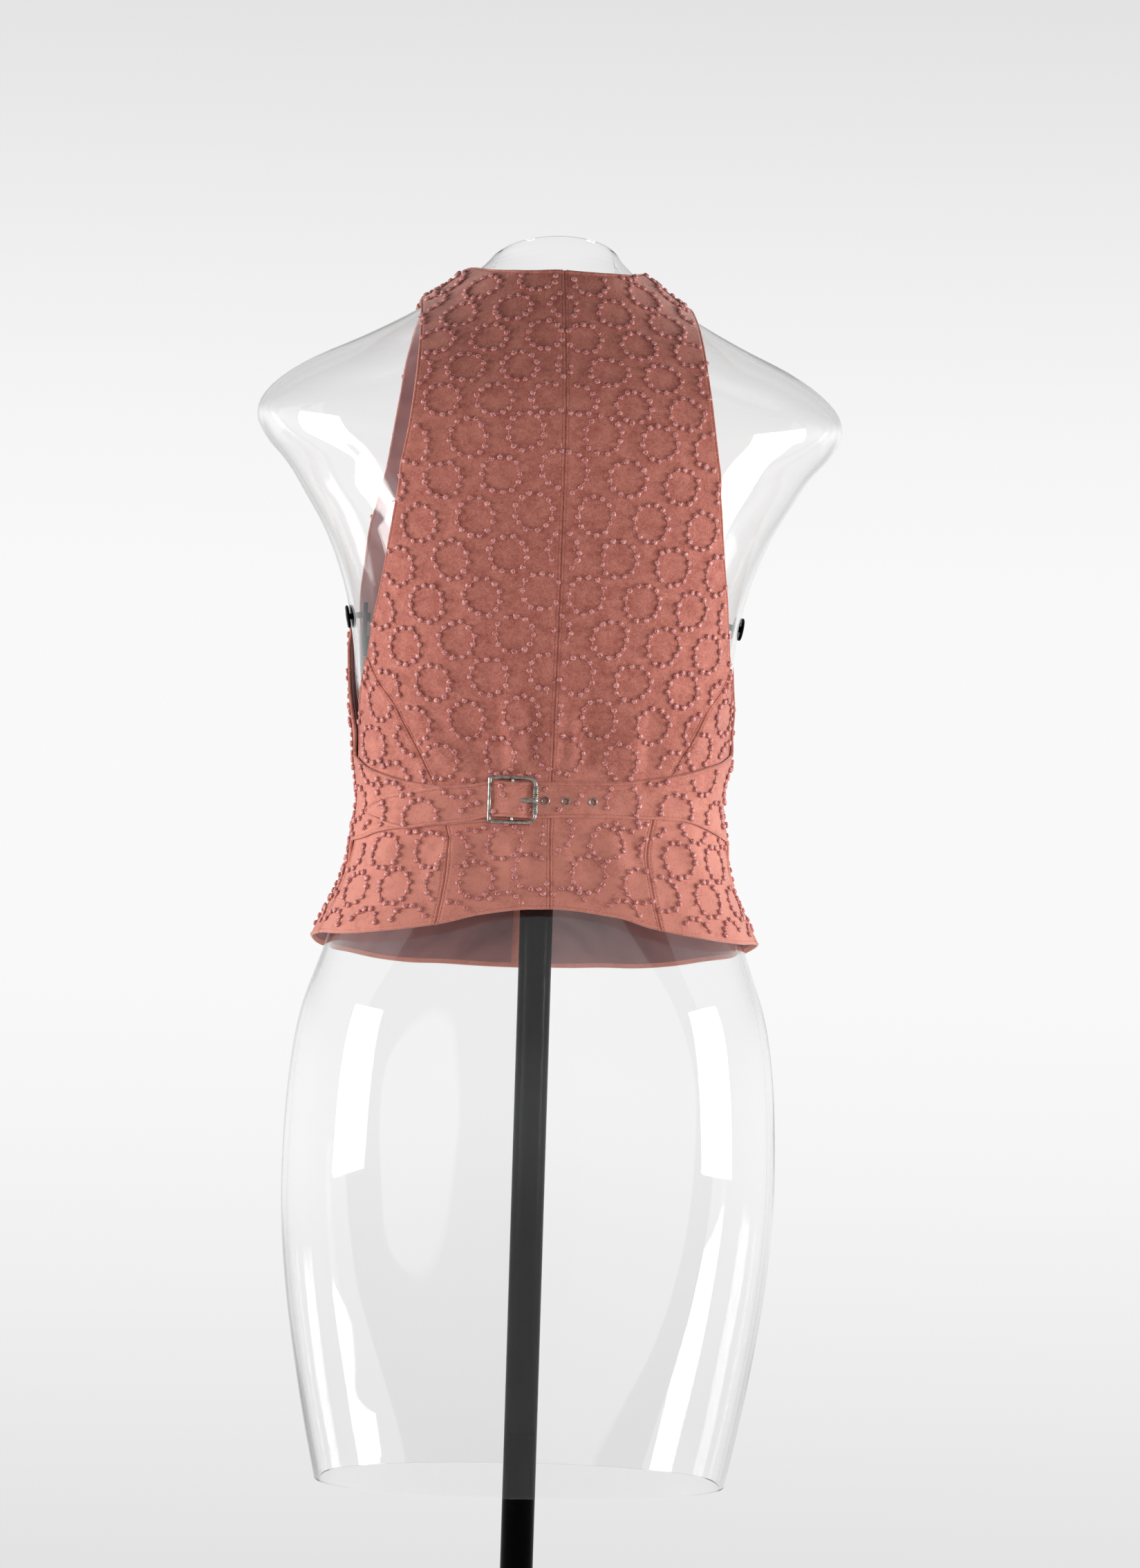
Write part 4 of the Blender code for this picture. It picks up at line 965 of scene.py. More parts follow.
def sewingTree():
    tree = bpy.data.node_groups.new("sewn_on", "GeometryNodeTree")
    tree.is_modifier = True
    for name, kind in (("Geometry", "Geometry"), ("Shape", "Object"), ("Thread radius", "Float"),
                       ("Thread lift", "Float"), ("Material", "Material")):
        tree.interface.new_socket(name, in_out="INPUT", socket_type="NodeSocket" + kind)
    tree.interface.new_socket("Geometry", in_out="OUTPUT", socket_type="NodeSocketGeometry")
    given = addNode(tree, "NodeGroupInput").outputs
    facing, along, size = (
        addNode(tree, "GeometryNodeInputNamedAttribute", {"Name": name}, data_type=kind)
        for name, kind in (("facing", "FLOAT_VECTOR"), ("along", "FLOAT_VECTOR"), ("size", "FLOAT")))
    turn = addNode(tree, "FunctionNodeAxesToRotation", {0: facing, 1: along}, primary_axis="Z", secondary_axis="X")
    shape = addNode(tree, "GeometryNodeObjectInfo", {"Object": given["Shape"]})
    sewn = addNode(tree, "ShaderNodeMath", {0: size, 1: 0.01}, operation="GREATER_THAN")
    copies = addNode(tree, "GeometryNodeInstanceOnPoints", {
        "Points": given["Geometry"], "Selection": sewn, "Instance": shape.outputs["Geometry"], "Rotation": turn,
        "Scale": size})
    realized = addNode(tree, "GeometryNodeRealizeInstances", {"Geometry": copies})
    lift = addNode(tree, "ShaderNodeVectorMath", {0: facing, "Scale": given["Thread lift"]}, operation="SCALE")
    raised = addNode(tree, "GeometryNodeSetPosition", {"Geometry": given["Geometry"], "Offset": lift})
    line = addNode(tree, "GeometryNodeMeshToCurve", {"Mesh": raised})
    section = addNode(tree, "GeometryNodeCurvePrimitiveCircle", {"Resolution": 5, "Radius": given["Thread radius"]})
    thread = addNode(tree, "GeometryNodeCurveToMesh", {"Curve": line, "Profile Curve": section, "Fill Caps": True})
    both = addNode(tree, "GeometryNodeJoinGeometry", {0: realized})
    feed(tree, both, {0: thread})
    smooth = addNode(tree, "GeometryNodeSetShadeSmooth", {"Geometry": both})
    painted = addNode(tree, "GeometryNodeSetMaterial", {"Geometry": smooth, "Material": given["Material"]})
    addNode(tree, "NodeGroupOutput", {0: painted})
    return tree


def sewnPiece(name, tree, shape, spots, facing, along, size, edges, material):
    mesh = newMesh(name + "_places", spots, [], edges)
    for label, kind, field, values in (("facing", "FLOAT_VECTOR", "vector", facing),
                                       ("along", "FLOAT_VECTOR", "vector", along), ("size", "FLOAT", "value", size)):
        mesh.attributes.new(label, kind, "POINT").data.foreach_set(field, values.astype(np.float32).ravel())
    places = addObject(name + "_places", mesh)
    change = places.modifiers.new("sewing", "NODES")
    change.node_group = tree
    values = {"Shape": shape, "Thread radius": threadValues["radius"] * mm, "Thread lift": threadValues["lift"] * mm,
              "Material": material}
    for item in tree.interface.items_tree:
        if item.in_out == "INPUT" and item.name in values:
            change[item.identifier] = values[item.name]
    sewn = bpy.data.meshes.new_from_object(places.evaluated_get(bpy.context.evaluated_depsgraph_get()))
    sewn.name = name
    bpy.data.objects.remove(places)
    return addObject(name, sewn)


def anyTangent(facing):
    loose = dice.normal(0, 1, facing.shape)
    along = loose - facing * (loose * facing).sum(-1, keepdims=True)
    return along / np.linalg.norm(along, axis=-1, keepdims=True)


def makeKnots(tree, material):
    shape = knotShape()
    total = 0
    for name in ringRows:
        spots, facing, size, edges = ringSet(name)
        total += int((size > 0).sum())
        piece = sewnPiece(f"knots_{name}", tree, shape, spots, facing, anyTangent(facing), size, edges, material)
        finish(piece, "wool_flannel")
    bpy.data.objects.remove(shape)
    print(total, "knots")


def runAt(run, places, values):  # what the values are at places along a line
    return np.stack([np.interp(places, run, values[:, k]) for k in range(3)], -1)


def makeStitches(tree, material):
    shape, pitch = stitchShape(), threadValues["pitch"]
    spots, facing, along = [], [], []
    for points, normals in stitchPaths:
        run = np.concatenate([[0], np.cumsum(np.linalg.norm(np.diff(points, axis=0), axis=1))])
        places = np.arange(pitch / 2, run[-1], pitch)
        if len(places) > 1:
            normal = runAt(run, places, normals)
            direction = runAt(run, places + 0.5, points) - runAt(run, places - 0.5, points)
            spots.append(runAt(run, places, points) + normal * 0.08)
            facing.append(normal)
            along.append(direction / np.maximum(np.linalg.norm(direction, axis=1, keepdims=True), 1e-6))
    spots, facing, along = (np.concatenate(part) for part in (spots, facing, along))
    piece = sewnPiece("edge_stitching", tree, shape, spots, facing, along, np.ones(len(spots)), [], material)
    finish(piece, "wool_flannel")
    bpy.data.objects.remove(shape)
    print(len(spots), "stitches")


# Buckle, eyelets and buttons

buckleValues = {
    "width": 34.0, "tall": 32.6, "angle": -16.6, "height": 806.0, "rightOut": 4.9, "leftOut": 6.5,
    "inset": 1.3, "frameRod": 1.35, "barRod": 0.9, "roundCorner": 5.0, "sharpCorner": 1.0,
    "rollerOuter": 2.45, "rollerInner": 1.6, "rollerLength": 20.0, "ribs": 14,
    "prongRod": 1.9, "loopRadius": 1.75, "loopRod": 0.55,
}
buttonValues = {"radius": 7.5, "thick": 3.0, "heights": (950, 895, 840, 785, 730), "holes": 4,
                "holesOut": 1.9, "dish": 0.75}


def placeOnCloth(angle, height, lift=0.0):  # X to the right, Y into the body, Z up the cloth, in mm
    at, normal = clothAt(np.float64(angle), np.float64(height), np.float64(lift))
    inward = -Vector(normal)
    right = inward.cross(Vector((0, 0, 1))).normalized()
    up = right.cross(inward)
    return Matrix.Translation(Vector(at)) @ Matrix((right, inward, up)).transposed().to_4x4()


def moved(points, place):
    turn = np.array(place.to_3x3())
    return points @ turn.T + np.array(place.translation)


def turnedShape(profile, segments):  # points and faces of a closed profile of (radius, height) turned about Z
    points, faces, rings = [], [], []
    for radius, height in profile:
        steps = 1 if radius == 0 else segments
        rings.append([len(points) + k for k in range(steps)])
        wheel = 2 * np.pi * np.arange(steps) / segments
        points += [(radius * np.cos(t), radius * np.sin(t), height) for t in wheel]
    following = rings[1:] + ([rings[0]] if profile[0][0] > 0 else [])
    for first, second in zip(rings, following):
        for k in range(segments):
            n = (k + 1) % segments
            quad = [first[k % len(first)], first[n % len(first)], second[n % len(second)], second[k % len(second)]]
            faces.append(tuple(dict.fromkeys(quad)))
    return np.array(points, float), faces


def tubeShape(line, radius, sides, closed, across=(0, 1, 0)):  # a rod along a line, its section kept square to it
    line = np.asarray(line, float)
    radius = np.broadcast_to(radius, len(line))
    ahead = np.roll(line, -1, 0) - np.roll(line, 1, 0) if closed else np.gradient(line, axis=0)
    ahead = ahead / np.linalg.norm(ahead, axis=1, keepdims=True)
    side = np.cross(ahead, across)
    side = side / np.linalg.norm(side, axis=1, keepdims=True)
    other = np.cross(side, ahead)
    turn = 2 * np.pi * np.arange(sides) / sides
    points = line[:, None] + radius[:, None, None] * (
        np.cos(turn)[:, None] * side[:, None] + np.sin(turn)[:, None] * other[:, None])
    faces = []
    count = len(line)
    for k in range(count if closed else count - 1):
        n = (k + 1) % count
        for s in range(sides):
            t = (s + 1) % sides
            faces.append((k * sides + s, n * sides + s, n * sides + t, k * sides + t))
    if not closed:
        faces.append(tuple(range(sides))[::-1])
        faces.append(tuple(range((count - 1) * sides, count * sides)))
    return points.reshape(-1, 3), faces


def joined(name, shapes, material, sharp=40, place=None):  # closed shapes of (points, faces), turned to face out
    allPoints, allFaces, start = [], [], 0
    for points, faces in shapes:
        points = points if place is None else moved(points, place)
        volume = sum(np.dot(points[f[0]], np.cross(points[f[k]], points[f[k + 1]]))
                     for f in faces for k in range(1, len(f) - 1))
        allFaces += [[v + start for v in (f if volume > 0 else f[::-1])] for f in faces]
        allPoints.append(points)
        start += len(points)
    mesh = newMesh(name, np.concatenate(allPoints), allFaces)
    mesh.shade_smooth()
    mesh.set_sharp_from_angle(angle=np.radians(sharp))
    mesh.materials.append(material)
    return addObject(name, mesh)


def roundedFrame(halfWide, halfTall, roundCorner, sharpCorner, steps):
    corners = ((halfWide, halfTall, roundCorner, 0), (-halfWide, halfTall, sharpCorner, 90),
               (-halfWide, -halfTall, sharpCorner, 180), (halfWide, -halfTall, roundCorner, 270))
    line = []
    for x, z, radius, start in corners:
        for turn in np.radians(start + 90 * np.arange(steps + 1) / steps):
            line.append((x - np.sign(x) * radius + radius * np.cos(turn), 0,
                         z - np.sign(z) * radius + radius * np.sin(turn)))
    return line


def makeBuckle(material):
    v = buckleValues
    half, tall = v["width"] / 2 - v["inset"], v["tall"] / 2 - v["inset"]
    tilt = np.arctan2(v["leftOut"] - v["rightOut"], 2 * half)
    place = placeOnCloth(v["angle"], v["height"], (v["rightOut"] + v["leftOut"]) / 2) @ Matrix.Rotation(tilt, 4, "Z")
    outline = roundedFrame(half, tall, v["roundCorner"], v["sharpCorner"], 8)
    bar = tubeShape([(0, 0, z) for z in np.linspace(-tall, tall, 9)], v["barRod"], 16, False)
    piece = joined("buckle_bars", [tubeShape(outline, v["frameRod"], 20, True), bar], material, place=place)
    finish(piece, "nickel", "buckle_frame")
    start, pitch = -v["rollerLength"] / 2, v["rollerLength"] / v["ribs"]
    ribShape = ((0.05, 0.66), (0.28, 0.95), (0.5, 1.0), (0.72, 0.95), (0.95, 0.66))  # along a rib, out
    profile = [
        (v["rollerOuter"] * out, start + (rib + along) * pitch) for rib in range(v["ribs"]) for along, out in ribShape]
    roller = turnedShape([(v["rollerInner"], start), *profile, (v["rollerInner"], -start)], 28)
    rightBar = place @ Matrix.Translation((half, 0, 0))
    finish(joined("ribbed_roller", [roller], material, sharp=70, place=rightBar), "nickel", "buckle_roller")
    t = np.linspace(0, 1, 14)
    reach = half + 1.6
    line = np.stack([1.2 + t * (reach - 1.2), -0.6 - 3.4 * ease(t * 1.25) + 0.6 * ease((t - 0.85) * 6), 0 * t], 1)
    radius = v["prongRod"] * (1.05 - 0.2 * t) * np.sqrt(np.clip((1.02 - t) * 14, 0.12, 1))
    tongue = tubeShape(line, radius, 16, False, across=(0, 0, 1))
    turn = np.linspace(0, 2 * np.pi, 28, endpoint=False)
    circle = v["loopRadius"] * np.stack([np.cos(turn), np.sin(turn), 0 * turn], 1)
    loop = tubeShape(circle, v["loopRod"], 12, True, across=(0, 0, 1))
    finish(joined("buckle_tongue", [tongue, loop], material, place=place), "nickel", "buckle_prong")


def makeEyelets(material):
    v = eyelets
    turns = np.radians(np.arange(-10, 171, 18))
    roll = [(v["flange"] - 0.55 + 0.55 * np.cos(t), 2.85 + 0.55 * np.sin(t)) for t in turns]
    lip = [(v["hole"] + 0.12, 3.15), (v["hole"], 2.8), (v["hole"], 0.8), (v["barrel"], 0.8), (v["barrel"], 2.7)]
    ring = turnedShape([*roll, *lip, (v["flange"] - 0.1, 2.7)], 40)
    for number, angle in enumerate(v["angles"], 1):
        place = placeOnCloth(angle, v["height"]) @ Matrix.Rotation(np.pi / 2, 4, "X")
        piece = joined(f"strap_eyelet_{number}", [ring], material, sharp=50, place=place)
        finish(piece, "nickel", f"eyelet_{number}")


def makeButtons(material, threadMaterial):
    v = buttonValues
    radius, level = v["radius"], v["thick"] - v["dish"]
    rings = np.concatenate([np.linspace(0, 3.4, 16), np.linspace(3.7, radius - 0.5, 12)])
    top = [(r, level + v["dish"] * ease((r - 4.6) / 1.2) * (1 - 0.5 * ease((r - 6.2) / 1.2))) for r in rings]
    edge = [(radius - 0.15, level), (radius, 1.9), (radius, 1.0), (radius - 0.6, 0.2), (radius - 1.4, 0), (0, 0)]
    points, faces = turnedShape(top + edge, 64)
    for turn in 2 * np.pi * (np.arange(v["holes"]) + 0.5) / v["holes"]:
        away = np.hypot(points[:, 0] - v["holesOut"] * np.cos(turn), points[:, 1] - v["holesOut"] * np.sin(turn))
        points[:, 2] -= 1.5 * np.clip(1.35 - away / 0.62, 0, 1) * (points[:, 2] > 1.5)
    t = np.linspace(-1, 1, 9)
    threads = []
    for turn in np.radians((45, 135)):
        across = v["holesOut"] * t
        line = np.stack([across * np.cos(turn), across * np.sin(turn), level + 0.5 * (1 - t**4) - 0.35 * t**4], 1)
        threads.append(tubeShape(line, threadValues["radius"], 8, False, across=(np.sin(turn), -np.cos(turn), 0)))
    lift = garment["clothThick"] + garment["layerGap"] + 0.6
    for number, height in enumerate(v["heights"], 1):
        place = placeOnCloth(180.0, height, lift) @ Matrix.Rotation(np.pi / 2, 4, "X")
        piece = joined(f"front_button_{number}", [(points, faces)], material, sharp=55, place=place)
        finish(piece, "button", f"button_{number}")
        finish(joined(f"button_thread_{number}", threads, threadMaterial, place=place), "wool_flannel")


# Dress form and stand

formValues = {"wall": 3.2, "neckStart": 1150, "neckMiddle": 1184, "neckSlope": 0.20, "neckBack": 57, "neckFront": 52,
              "halfGap": 0.15}
standValues = {
    "poleRadius": 11.5, "baseRadius": 170, "baseThick": 8, "hubRadius": 26, "hubTop": 38, "barHeight": 911,
    "barRadius": 6, "collarRadius": 17, "collarHalf": 15, "knobHeight": 930, "knobRadius": 8, "knobThick": 2.2,
    "screwRadius": 2.2,
}


def formGrid(side, turns):
    v = formValues
    plain = np.arange(330, v["neckStart"], 5.0)
    upper = np.linspace(v["neckStart"], v["neckMiddle"], 12)
    height = np.concatenate([plain, upper])[:, None]
    depth = v["neckBack" if side < 0 else "neckFront"]
    rim = v["neckMiddle"] - side * v["neckSlope"] * depth * np.sin(turns)[None, :]
    share = np.clip((height - v["neckStart"]) / (v["neckMiddle"] - v["neckStart"]), 0, 1)
    levels = np.minimum(height, v["neckStart"]) + (rim - v["neckStart"]) * share
    half, back, front, power = columnsAt(formLine, levels)
    depth = back if side < 0 else front
    x = half * np.sign(np.cos(turns)) * np.abs(np.cos(turns)) ** (2 / power)
    y = side * depth * np.sin(turns) ** (2 / power)
    return np.stack([x, y, levels], axis=-1)


def makeForm(material):
    v = formValues
    turns = np.linspace(0, np.pi, 81)
    turns = turns - 0.35 * np.sin(2 * turns) / 2  # closer columns along the two seams
    for side, word in ((-1, "back"), (1, "front")):
        outer = formGrid(side, turns)
        nudged = outer.copy()
        nudged[:, 0, 1] = nudged[:, -1, 1] = side * 0.5
        inner = outer - outward(formLine, nudged) * v["wall"]
        inner[0, :, 2] = outer[0, :, 2]
        for grid in (outer, inner):
            grid[:, 0, 1] = grid[:, -1, 1] = side * v["halfGap"]
        piece = wall(f"form_shell_{word}", outer, inner, outer[..., :2] * mm, material)
        piece.data.set_sharp_from_angle(angle=np.radians(50))
        piece.visible_shadow = False  # light passes through the clear shells to the lining
        finish(piece, "clear_acrylic", f"form_{word}")


def boxShape(low, high, bevel):
    (x0, y0, z0), (x1, y1, z1) = low, high
    outline = [(x0, y0 + bevel), (x0 + bevel, y0), (x1 - bevel, y0), (x1, y0 + bevel),
               (x1, y1 - bevel), (x1 - bevel, y1), (x0 + bevel, y1), (x0, y1 - bevel)]
    points = np.array([(x, y, z) for z in (z0, z1) for x, y in outline], float)
    faces = [tuple(range(8))[::-1], tuple(range(8, 16))]
    faces += [(k, (k + 1) % 8, (k + 1) % 8 + 8, k + 8) for k in range(8)]
    return points, faces


def rodShape(start, end, radius, segments=32, bevel=0.6):
    start, end = Vector(start), Vector(end)
    long = (end - start).length
    profile = [(0, 0), (radius - bevel, 0), (radius, bevel), (radius, long - bevel), (radius - bevel, long), (0, long)]
    points, faces = turnedShape(profile, segments)
    turn = (end - start).to_track_quat("Z", "Y").to_matrix().to_4x4()
    return moved(points, Matrix.Translation(start) @ turn), faces


def makeFittings(material):
    v = standValues
    bar, knob, reach = v["barHeight"], v["knobHeight"], v["knobRadius"]
    low, high = bar - 8.0, knob + 10.0
    half = columnsAt(formLine, np.array([low, knob - reach, knob + reach]))[0]
    plateOut = float(half[0]) - 5.5
    face = float(half[1] + half[2]) / 2 + 0.5
    slope = float(np.arctan2(half[2] - half[1], 2 * reach))  # the knob lies flat on the leaning shell
    shapes = [
        rodShape((1 - plateOut, 0, bar), (plateOut - 1, 0, bar), v["barRadius"]),
        rodShape((0, 0, bar - v["collarHalf"]), (0, 0, bar + v["collarHalf"]), v["collarRadius"], 40, 1.0),
    ]
    for hand, _ in bothSides:
        near, far = sorted((hand * (plateOut - 3), hand * plateOut))
        shapes.append(boxShape((near, -11, low), (far, 11, high), 0.8))
        shapes.append(rodShape((hand * (plateOut - 5), 0, knob), (hand * (plateOut - 2.4), 0, knob), 3.6, 6, 0.3))
    finish(joined("support_bar", shapes, material, sharp=30), "black_metal", "form_crossbar")
    outer = face + v["knobThick"]
    knobShape = turnedShape([
        (0, plateOut + 0.3), (v["screwRadius"], plateOut + 0.3), (v["screwRadius"], face), (7.2, face),
        (reach, face + 0.6), (reach, face + 1.6), (7.1, outer), (3.2, outer), (2.6, outer - 0.9), (0, outer - 0.9)], 48)
    for hand, word in bothSides:
        turn = Matrix.Rotation(hand * (np.pi / 2 + slope), 4, "Y") @ Matrix.Translation((0, 0, -face))
        place = Matrix.Translation((hand * face, 0, knob)) @ turn
        piece = joined(f"screw_knob_{word}", [knobShape], material, sharp=35, place=place)
        finish(piece, "black_metal", f"form_knob_{word}")


def rounded(radius, height, size, turns):  # a quarter round of a turned profile
    return [(radius + size * np.sin(t), height + size * np.cos(t)) for t in turns]


def makeStand(material):
    v = standValues
    base, thick, hub = v["baseRadius"], v["baseThick"], v["hubRadius"]
    ends = (0, 0, thick + 0.3), (0, 0, v["barHeight"] - v["collarHalf"] - 0.3)
    finish(joined("pole_tube", [rodShape(*ends, v["poleRadius"], 72, 0.8)], material), "black_metal", "stand_pole")
    inside = v["poleRadius"] + 0.3
    turns = np.linspace(0, np.pi / 2, 7)
    profile = [
        (0, thick + 0.1), (inside, thick + 0.1), (inside, v["hubTop"]), *rounded(hub - 3, v["hubTop"] - 3, 3, turns),
        *rounded(hub + 4, thick + 4, -4, turns[::-1]), *rounded(base - 2.5, thick - 2.5, 2.5, turns), (base, 1),
        (base - 1, 0), (0, 0)]
    finish(joined("base_plate", [turnedShape(profile, 128)], material, sharp=30), "black_metal", "stand_base")


# Materials

def newMaterial(name, coordinates="Object"):
    material = bpy.data.materials.new(name)
    material.use_nodes = True
    tree = material.node_tree
    tree.nodes.clear()
    shader = addNode(tree, "ShaderNodeBsdfPrincipled")
    addNode(tree, "ShaderNodeOutputMaterial", {"Surface": shader})
    return material, tree, shader, addNode(tree, "ShaderNodeTexCoord").outputs[coordinates]


def bandScale(spacing):  # a wave texture's scale for bands this far apart, in metres
    return 0.314159 / spacing


def woolFlannel():
    # brushed woollen flannel: matt, with a pale fuzz at grazing angles, mottled dye and a faint slanted twill
    material, tree, shader, place = newMaterial("wool flannel, brushed", "UV")
    slanted = addNode(tree, "ShaderNodeMapping", {"Vector": place, "Rotation": (0, 0, np.radians(38))})
    # the real twill is about 0.7 mm; it is drawn at 1.3 mm so that it shows
    twill = addNode(tree, "ShaderNodeTexWave", {
        "Vector": slanted, "Scale": bandScale(1.3 * mm), "Distortion": 2.2, "Detail": 2.0, "Detail Scale": 1.5,
    }, bands_direction="X")
    clouds = addNode(tree, "ShaderNodeTexNoise", {"Vector": place, "Scale": 1 / (9 * mm), "Detail": 3.0})
    fuzz = addNode(tree, "ShaderNodeTexNoise", {
        "Vector": place, "Scale": 1 / (1.1 * mm), "Detail": 4.0, "Roughness": 0.65})
    hair = addNode(tree, "ShaderNodeTexNoise", {"Vector": slanted, "Scale": 1 / (2.6 * mm), "Detail": 2.0})
    # painted light: the colour is made a little paler at the hem and at the shoulders, standing in for the light that
    # falls there
    level = addNode(tree, "ShaderNodeSeparateXYZ", {0: place}).outputs["Y"]
    paintedHemLight, wearAndPaintedLight = (
        addNode(tree, "ShaderNodeMapRange", {
            "Value": level, "From Min": low, "From Max": high, "To Min": atLow, "To Max": atHigh,
        }, interpolation_type="SMOOTHSTEP")
        for low, high, atLow, atHigh in ((0.78, 0.86, 0.14, 0.0), (0.95, 1.15, 0.0, 0.03)))
    tone = 0.0
    # the tone mixes the painted light at the hem and the shoulders into the dye's mottling
    for pattern, share in ((fuzz, 0.5), (clouds, 0.35), (hair, 0.25), (paintedHemLight, 1.0), (wearAndPaintedLight, 1.0)):
        tone = addNode(tree, "ShaderNodeMath", {0: pattern, 1: share, 2: tone}, operation="MULTIPLY_ADD")
    dye = addNode(tree, "ShaderNodeValToRGB", {"Fac": tone}, stops=((0.38, "9a4f46"), (0.70, "d48a7a")))
    first = addNode(tree, "ShaderNodeBump", {"Height": twill.outputs["Fac"], "Distance": 0.10 * mm, "Strength": 0.55})
    second = addNode(tree, "ShaderNodeBump", {
        "Height": fuzz, "Distance": 0.40 * mm, "Strength": 0.8, "Normal": first})
    feed(tree, shader, {
        "Base Color": dye, "Normal": second, "Roughness": 0.93, "Specular IOR Level": 0.2, "Sheen Weight": 0.8,
        "Sheen Roughness": 0.42, "Sheen Tint": hexColour("ffe4dc")})
    return material


def satinLining():
    # mauve-pink acetate satin: smooth, with a soft broad shine across the weave
    material, tree, shader, place = newMaterial("satin lining, woven", "UV")
    # the real weave is finer than 0.1 mm; its cross ribs are drawn at 0.8 mm
    weave = addNode(tree, "ShaderNodeTexWave", {
        "Vector": place, "Scale": bandScale(0.8 * mm), "Distortion": 0.6}, bands_direction="Y")
    clouds = addNode(tree, "ShaderNodeTexNoise", {"Vector": place, "Scale": 1 / (22 * mm), "Detail": 2.0})
    dye = addNode(tree, "ShaderNodeValToRGB", {"Fac": clouds}, stops=((0.35, "835050"), (0.65, "996361")))
    bump = addNode(tree, "ShaderNodeBump", {"Height": weave.outputs["Fac"], "Distance": 0.03 * mm, "Strength": 0.3})
    feed(tree, shader, {"Base Color": dye, "Normal": bump, "Roughness": 0.36, "Anisotropic": 0.5,
                        "Sheen Weight": 0.15, "Sheen Roughness": 0.3})
    return material


def silkThread():
    # twisted silk floss wound into knots; painted highlight and painted shade: paler on the strands' ridges, deeper
    # pink between them
    material, tree, shader, place = newMaterial("silk thread, twisted")
    strand = addNode(tree, "ShaderNodeTexNoise", {
        "Vector": place, "Scale": 1 / (0.9 * mm), "Detail": 2.0, "Distortion": 1.2})
    # painted highlight and painted shade: the colour follows the strands' bump, pale on the raised strands and dark in
    # the grooves
    dye = addNode(tree, "ShaderNodeValToRGB", {"Fac": strand}, stops=((0.36, "943836"), (0.62, "f2aca4")))
    bump = addNode(tree, "ShaderNodeBump", {"Height": strand, "Distance": 0.35 * mm, "Strength": 0.8})
    feed(tree, shader, {"Base Color": dye, "Normal": bump, "Roughness": 0.24, "Specular IOR Level": 1.0})
    return material


def sewingThread():
    # matt cotton sewing thread, dyed to the cloth
    material, tree, shader, place = newMaterial("sewing thread, matt")
    ply = addNode(tree, "ShaderNodeTexNoise", {"Vector": place, "Scale": 1 / (0.5 * mm), "Detail": 1.0})
    dye = addNode(tree, "ShaderNodeValToRGB", {"Fac": ply}, stops=((0, "9c5347"), (1, "c07767")))
    feed(tree, shader, {"Base Color": dye, "Roughness": 0.8, "Specular IOR Level": 0.25})
    return material


def wornNickel():
    # nickel-plated brass, rolled and tumbled: silver grey, scuffed and a little darker in patches
    material, tree, shader, place = newMaterial("nickel plate, worn")
    patches = addNode(tree, "ShaderNodeTexNoise", {"Vector": place, "Scale": 1 / (3 * mm), "Detail": 4.0})
    plate = addNode(tree, "ShaderNodeValToRGB", {"Fac": patches}, stops=((0.36, "a5a29b"), (0.6, "e6e4de")))
    rough = addNode(tree, "ShaderNodeMapRange", {
        "Value": patches, "From Min": 0.3, "From Max": 0.7, "To Min": 0.46, "To Max": 0.3})
    scuffs = addNode(tree, "ShaderNodeTexNoise", {"Vector": place, "Scale": 1 / (0.6 * mm), "Detail": 2.0})
    bump = addNode(tree, "ShaderNodeBump", {"Height": scuffs, "Distance": 0.05 * mm, "Strength": 0.35})
    feed(tree, shader, {"Base Color": plate, "Metallic": 1.0, "Roughness": rough, "Normal": bump})
    return material


def clearAcrylic():
    # clear blown acrylic: glossy, with a very slow ripple left by the forming
    material, tree, shader, place = newMaterial("acrylic, clear moulded")
    ripple = addNode(tree, "ShaderNodeTexNoise", {"Vector": place, "Scale": 1 / (120 * mm), "Detail": 1.0})
    bump = addNode(tree, "ShaderNodeBump", {"Height": ripple, "Distance": 3.0 * mm, "Strength": 0.30})
    feed(tree, shader, {"Base Color": hexColour("ffffff"), "Roughness": 0.02, "IOR": 1.49,
                        "Transmission Weight": 1.0, "Normal": bump})
    return material


def blackMetal():
    # black powder-coated steel: fine grain with a satin shine
    material, tree, shader, place = newMaterial("steel, black powder coat")
    grain = addNode(tree, "ShaderNodeTexNoise", {"Vector": place, "Scale": 1 / (0.8 * mm), "Detail": 2.0})
    wear = addNode(tree, "ShaderNodeTexNoise", {"Vector": place, "Scale": 1 / (40 * mm), "Detail": 3.0})
    coat = addNode(tree, "ShaderNodeValToRGB", {"Fac": wear}, stops=((0, "020203"), (1, "070708")))
    bump = addNode(tree, "ShaderNodeBump", {"Height": grain, "Distance": 0.04 * mm, "Strength": 0.4})
    feed(tree, shader, {"Base Color": coat, "Roughness": 0.2, "Specular IOR Level": 0.04, "Normal": bump})
    return material


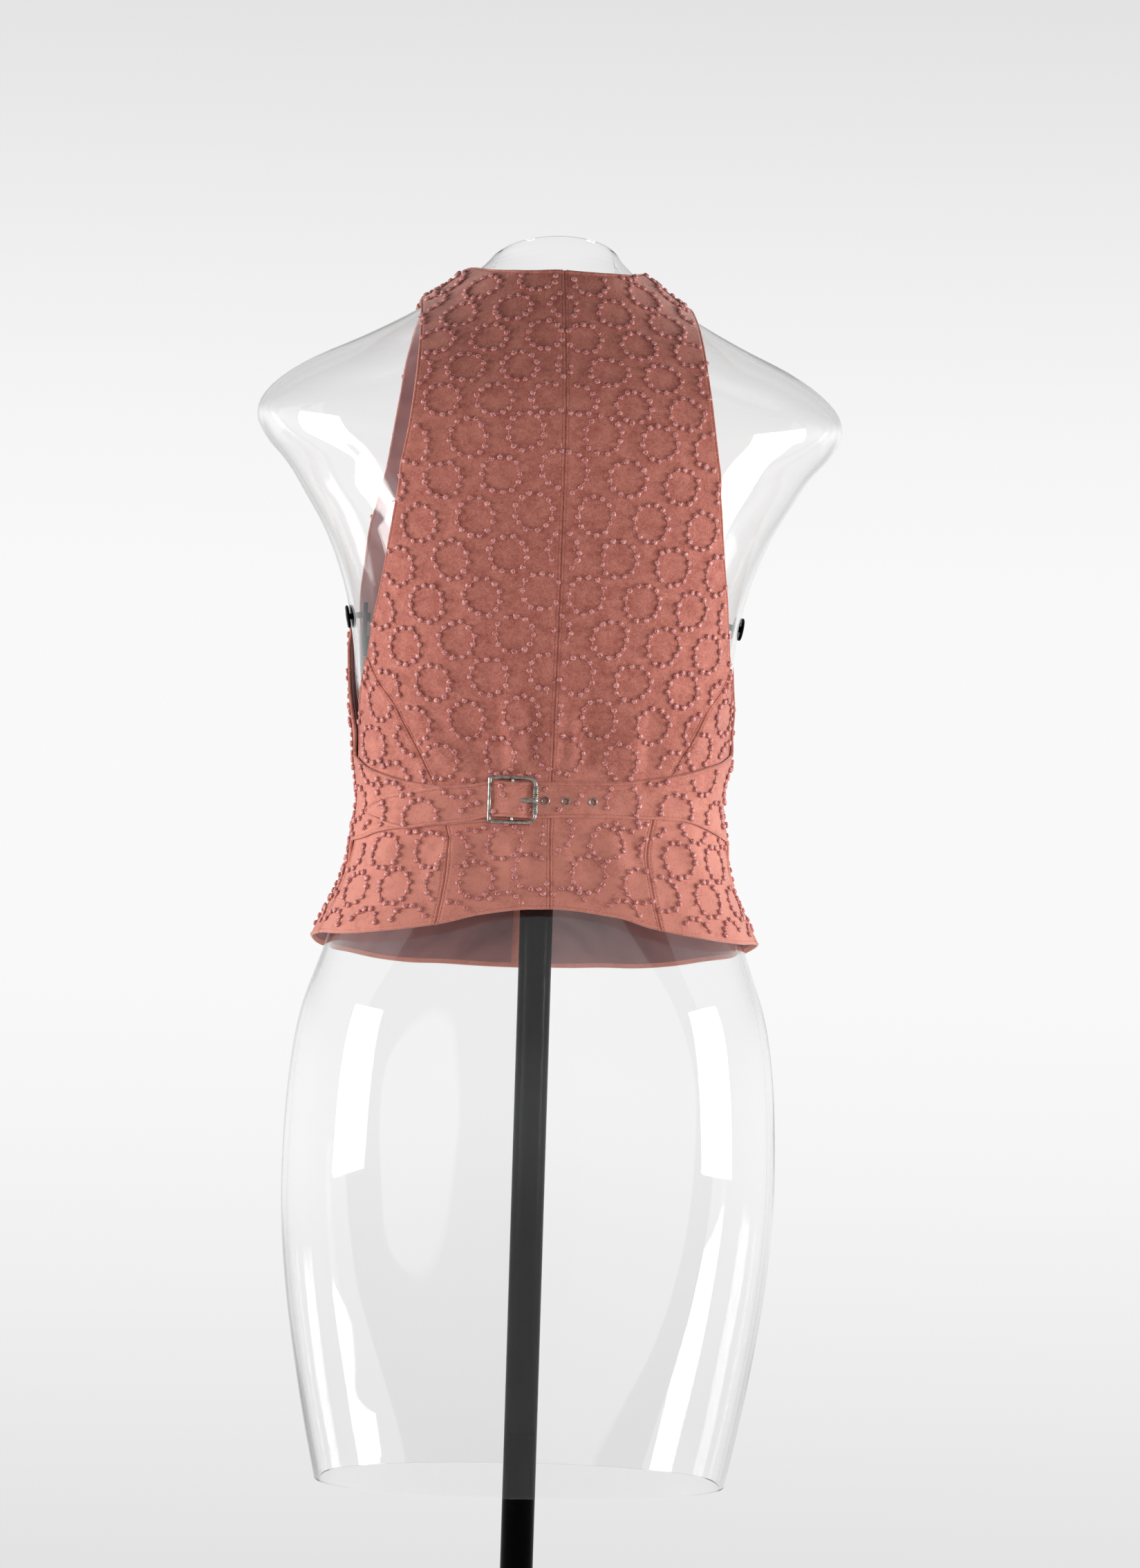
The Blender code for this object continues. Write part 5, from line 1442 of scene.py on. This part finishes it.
def hornButton():
    # turned and polished horn, brown-pink with darker streaks
    material, tree, shader, place = newMaterial("horn, polished")
    streaks = addNode(tree, "ShaderNodeTexNoise", {
        "Vector": place, "Scale": 1 / (4 * mm), "Detail": 4.0, "Distortion": 2.5})
    horn = addNode(tree, "ShaderNodeValToRGB", {"Fac": streaks}, stops=((0.35, "6e3a30"), (0.65, "b06e5c")))
    feed(tree, shader, {"Base Color": horn, "Roughness": 0.28, "Coat Weight": 0.3})
    return material


def paleFloor():
    # painted studio floor, fading out at its edge
    material, tree, shader, place = newMaterial("studio floor, painted")
    away = addNode(tree, "ShaderNodeVectorMath", {0: place}, operation="LENGTH")
    clear = addNode(tree, "ShaderNodeMapRange", {
        "Value": away.outputs["Value"], "From Min": 0.7, "From Max": 1.35, "To Min": 1.0, "To Max": 0.0,
    }, interpolation_type="SMOOTHSTEP")
    grain = addNode(tree, "ShaderNodeTexNoise", {"Vector": place, "Scale": 1 / (4 * mm)})
    bump = addNode(tree, "ShaderNodeBump", {"Height": grain, "Distance": 0.05 * mm, "Strength": 0.1})
    feed(tree, shader, {"Base Color": hexColour("bdbdbd"), "Roughness": 0.6, "Alpha": clear, "Normal": bump})
    return material


def finish(piece, slot, *nodes):
    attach(piece, "root")
    if nodes:
        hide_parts(*nodes)


def makeFloor():
    points, faces = turnedShape([(0, 0), (300, 0), (700, 0), (1000, 0), (1400, 0)], 64)
    mesh = newMesh("floor", points - [0, 0, 0.5], faces)
    mesh.materials.append(paleFloor())
    addObject("floor", mesh)


def main():
    makeCamera()
    makeLights()
    makeWorld()
    makeFloor()
    clear, black, nickel = clearAcrylic(), blackMetal(), wornNickel()
    makeForm(clear)
    makeFittings(black)
    makeStand(black)
    print("form and stand made")
    wool, satin = woolFlannel(), satinLining()
    makeBackPanels(wool)
    for word in fronts:
        makeFront(word, wool)
    makeLinings(satin)
    print("cloth made")
    makeBuckle(nickel)
    makeEyelets(nickel)
    thread = sewingThread()
    makeButtons(hornButton(), thread)
    print("hardware made")
    tree = sewingTree()
    makeKnots(tree, silkThread())
    makeStitches(tree, thread)


main()
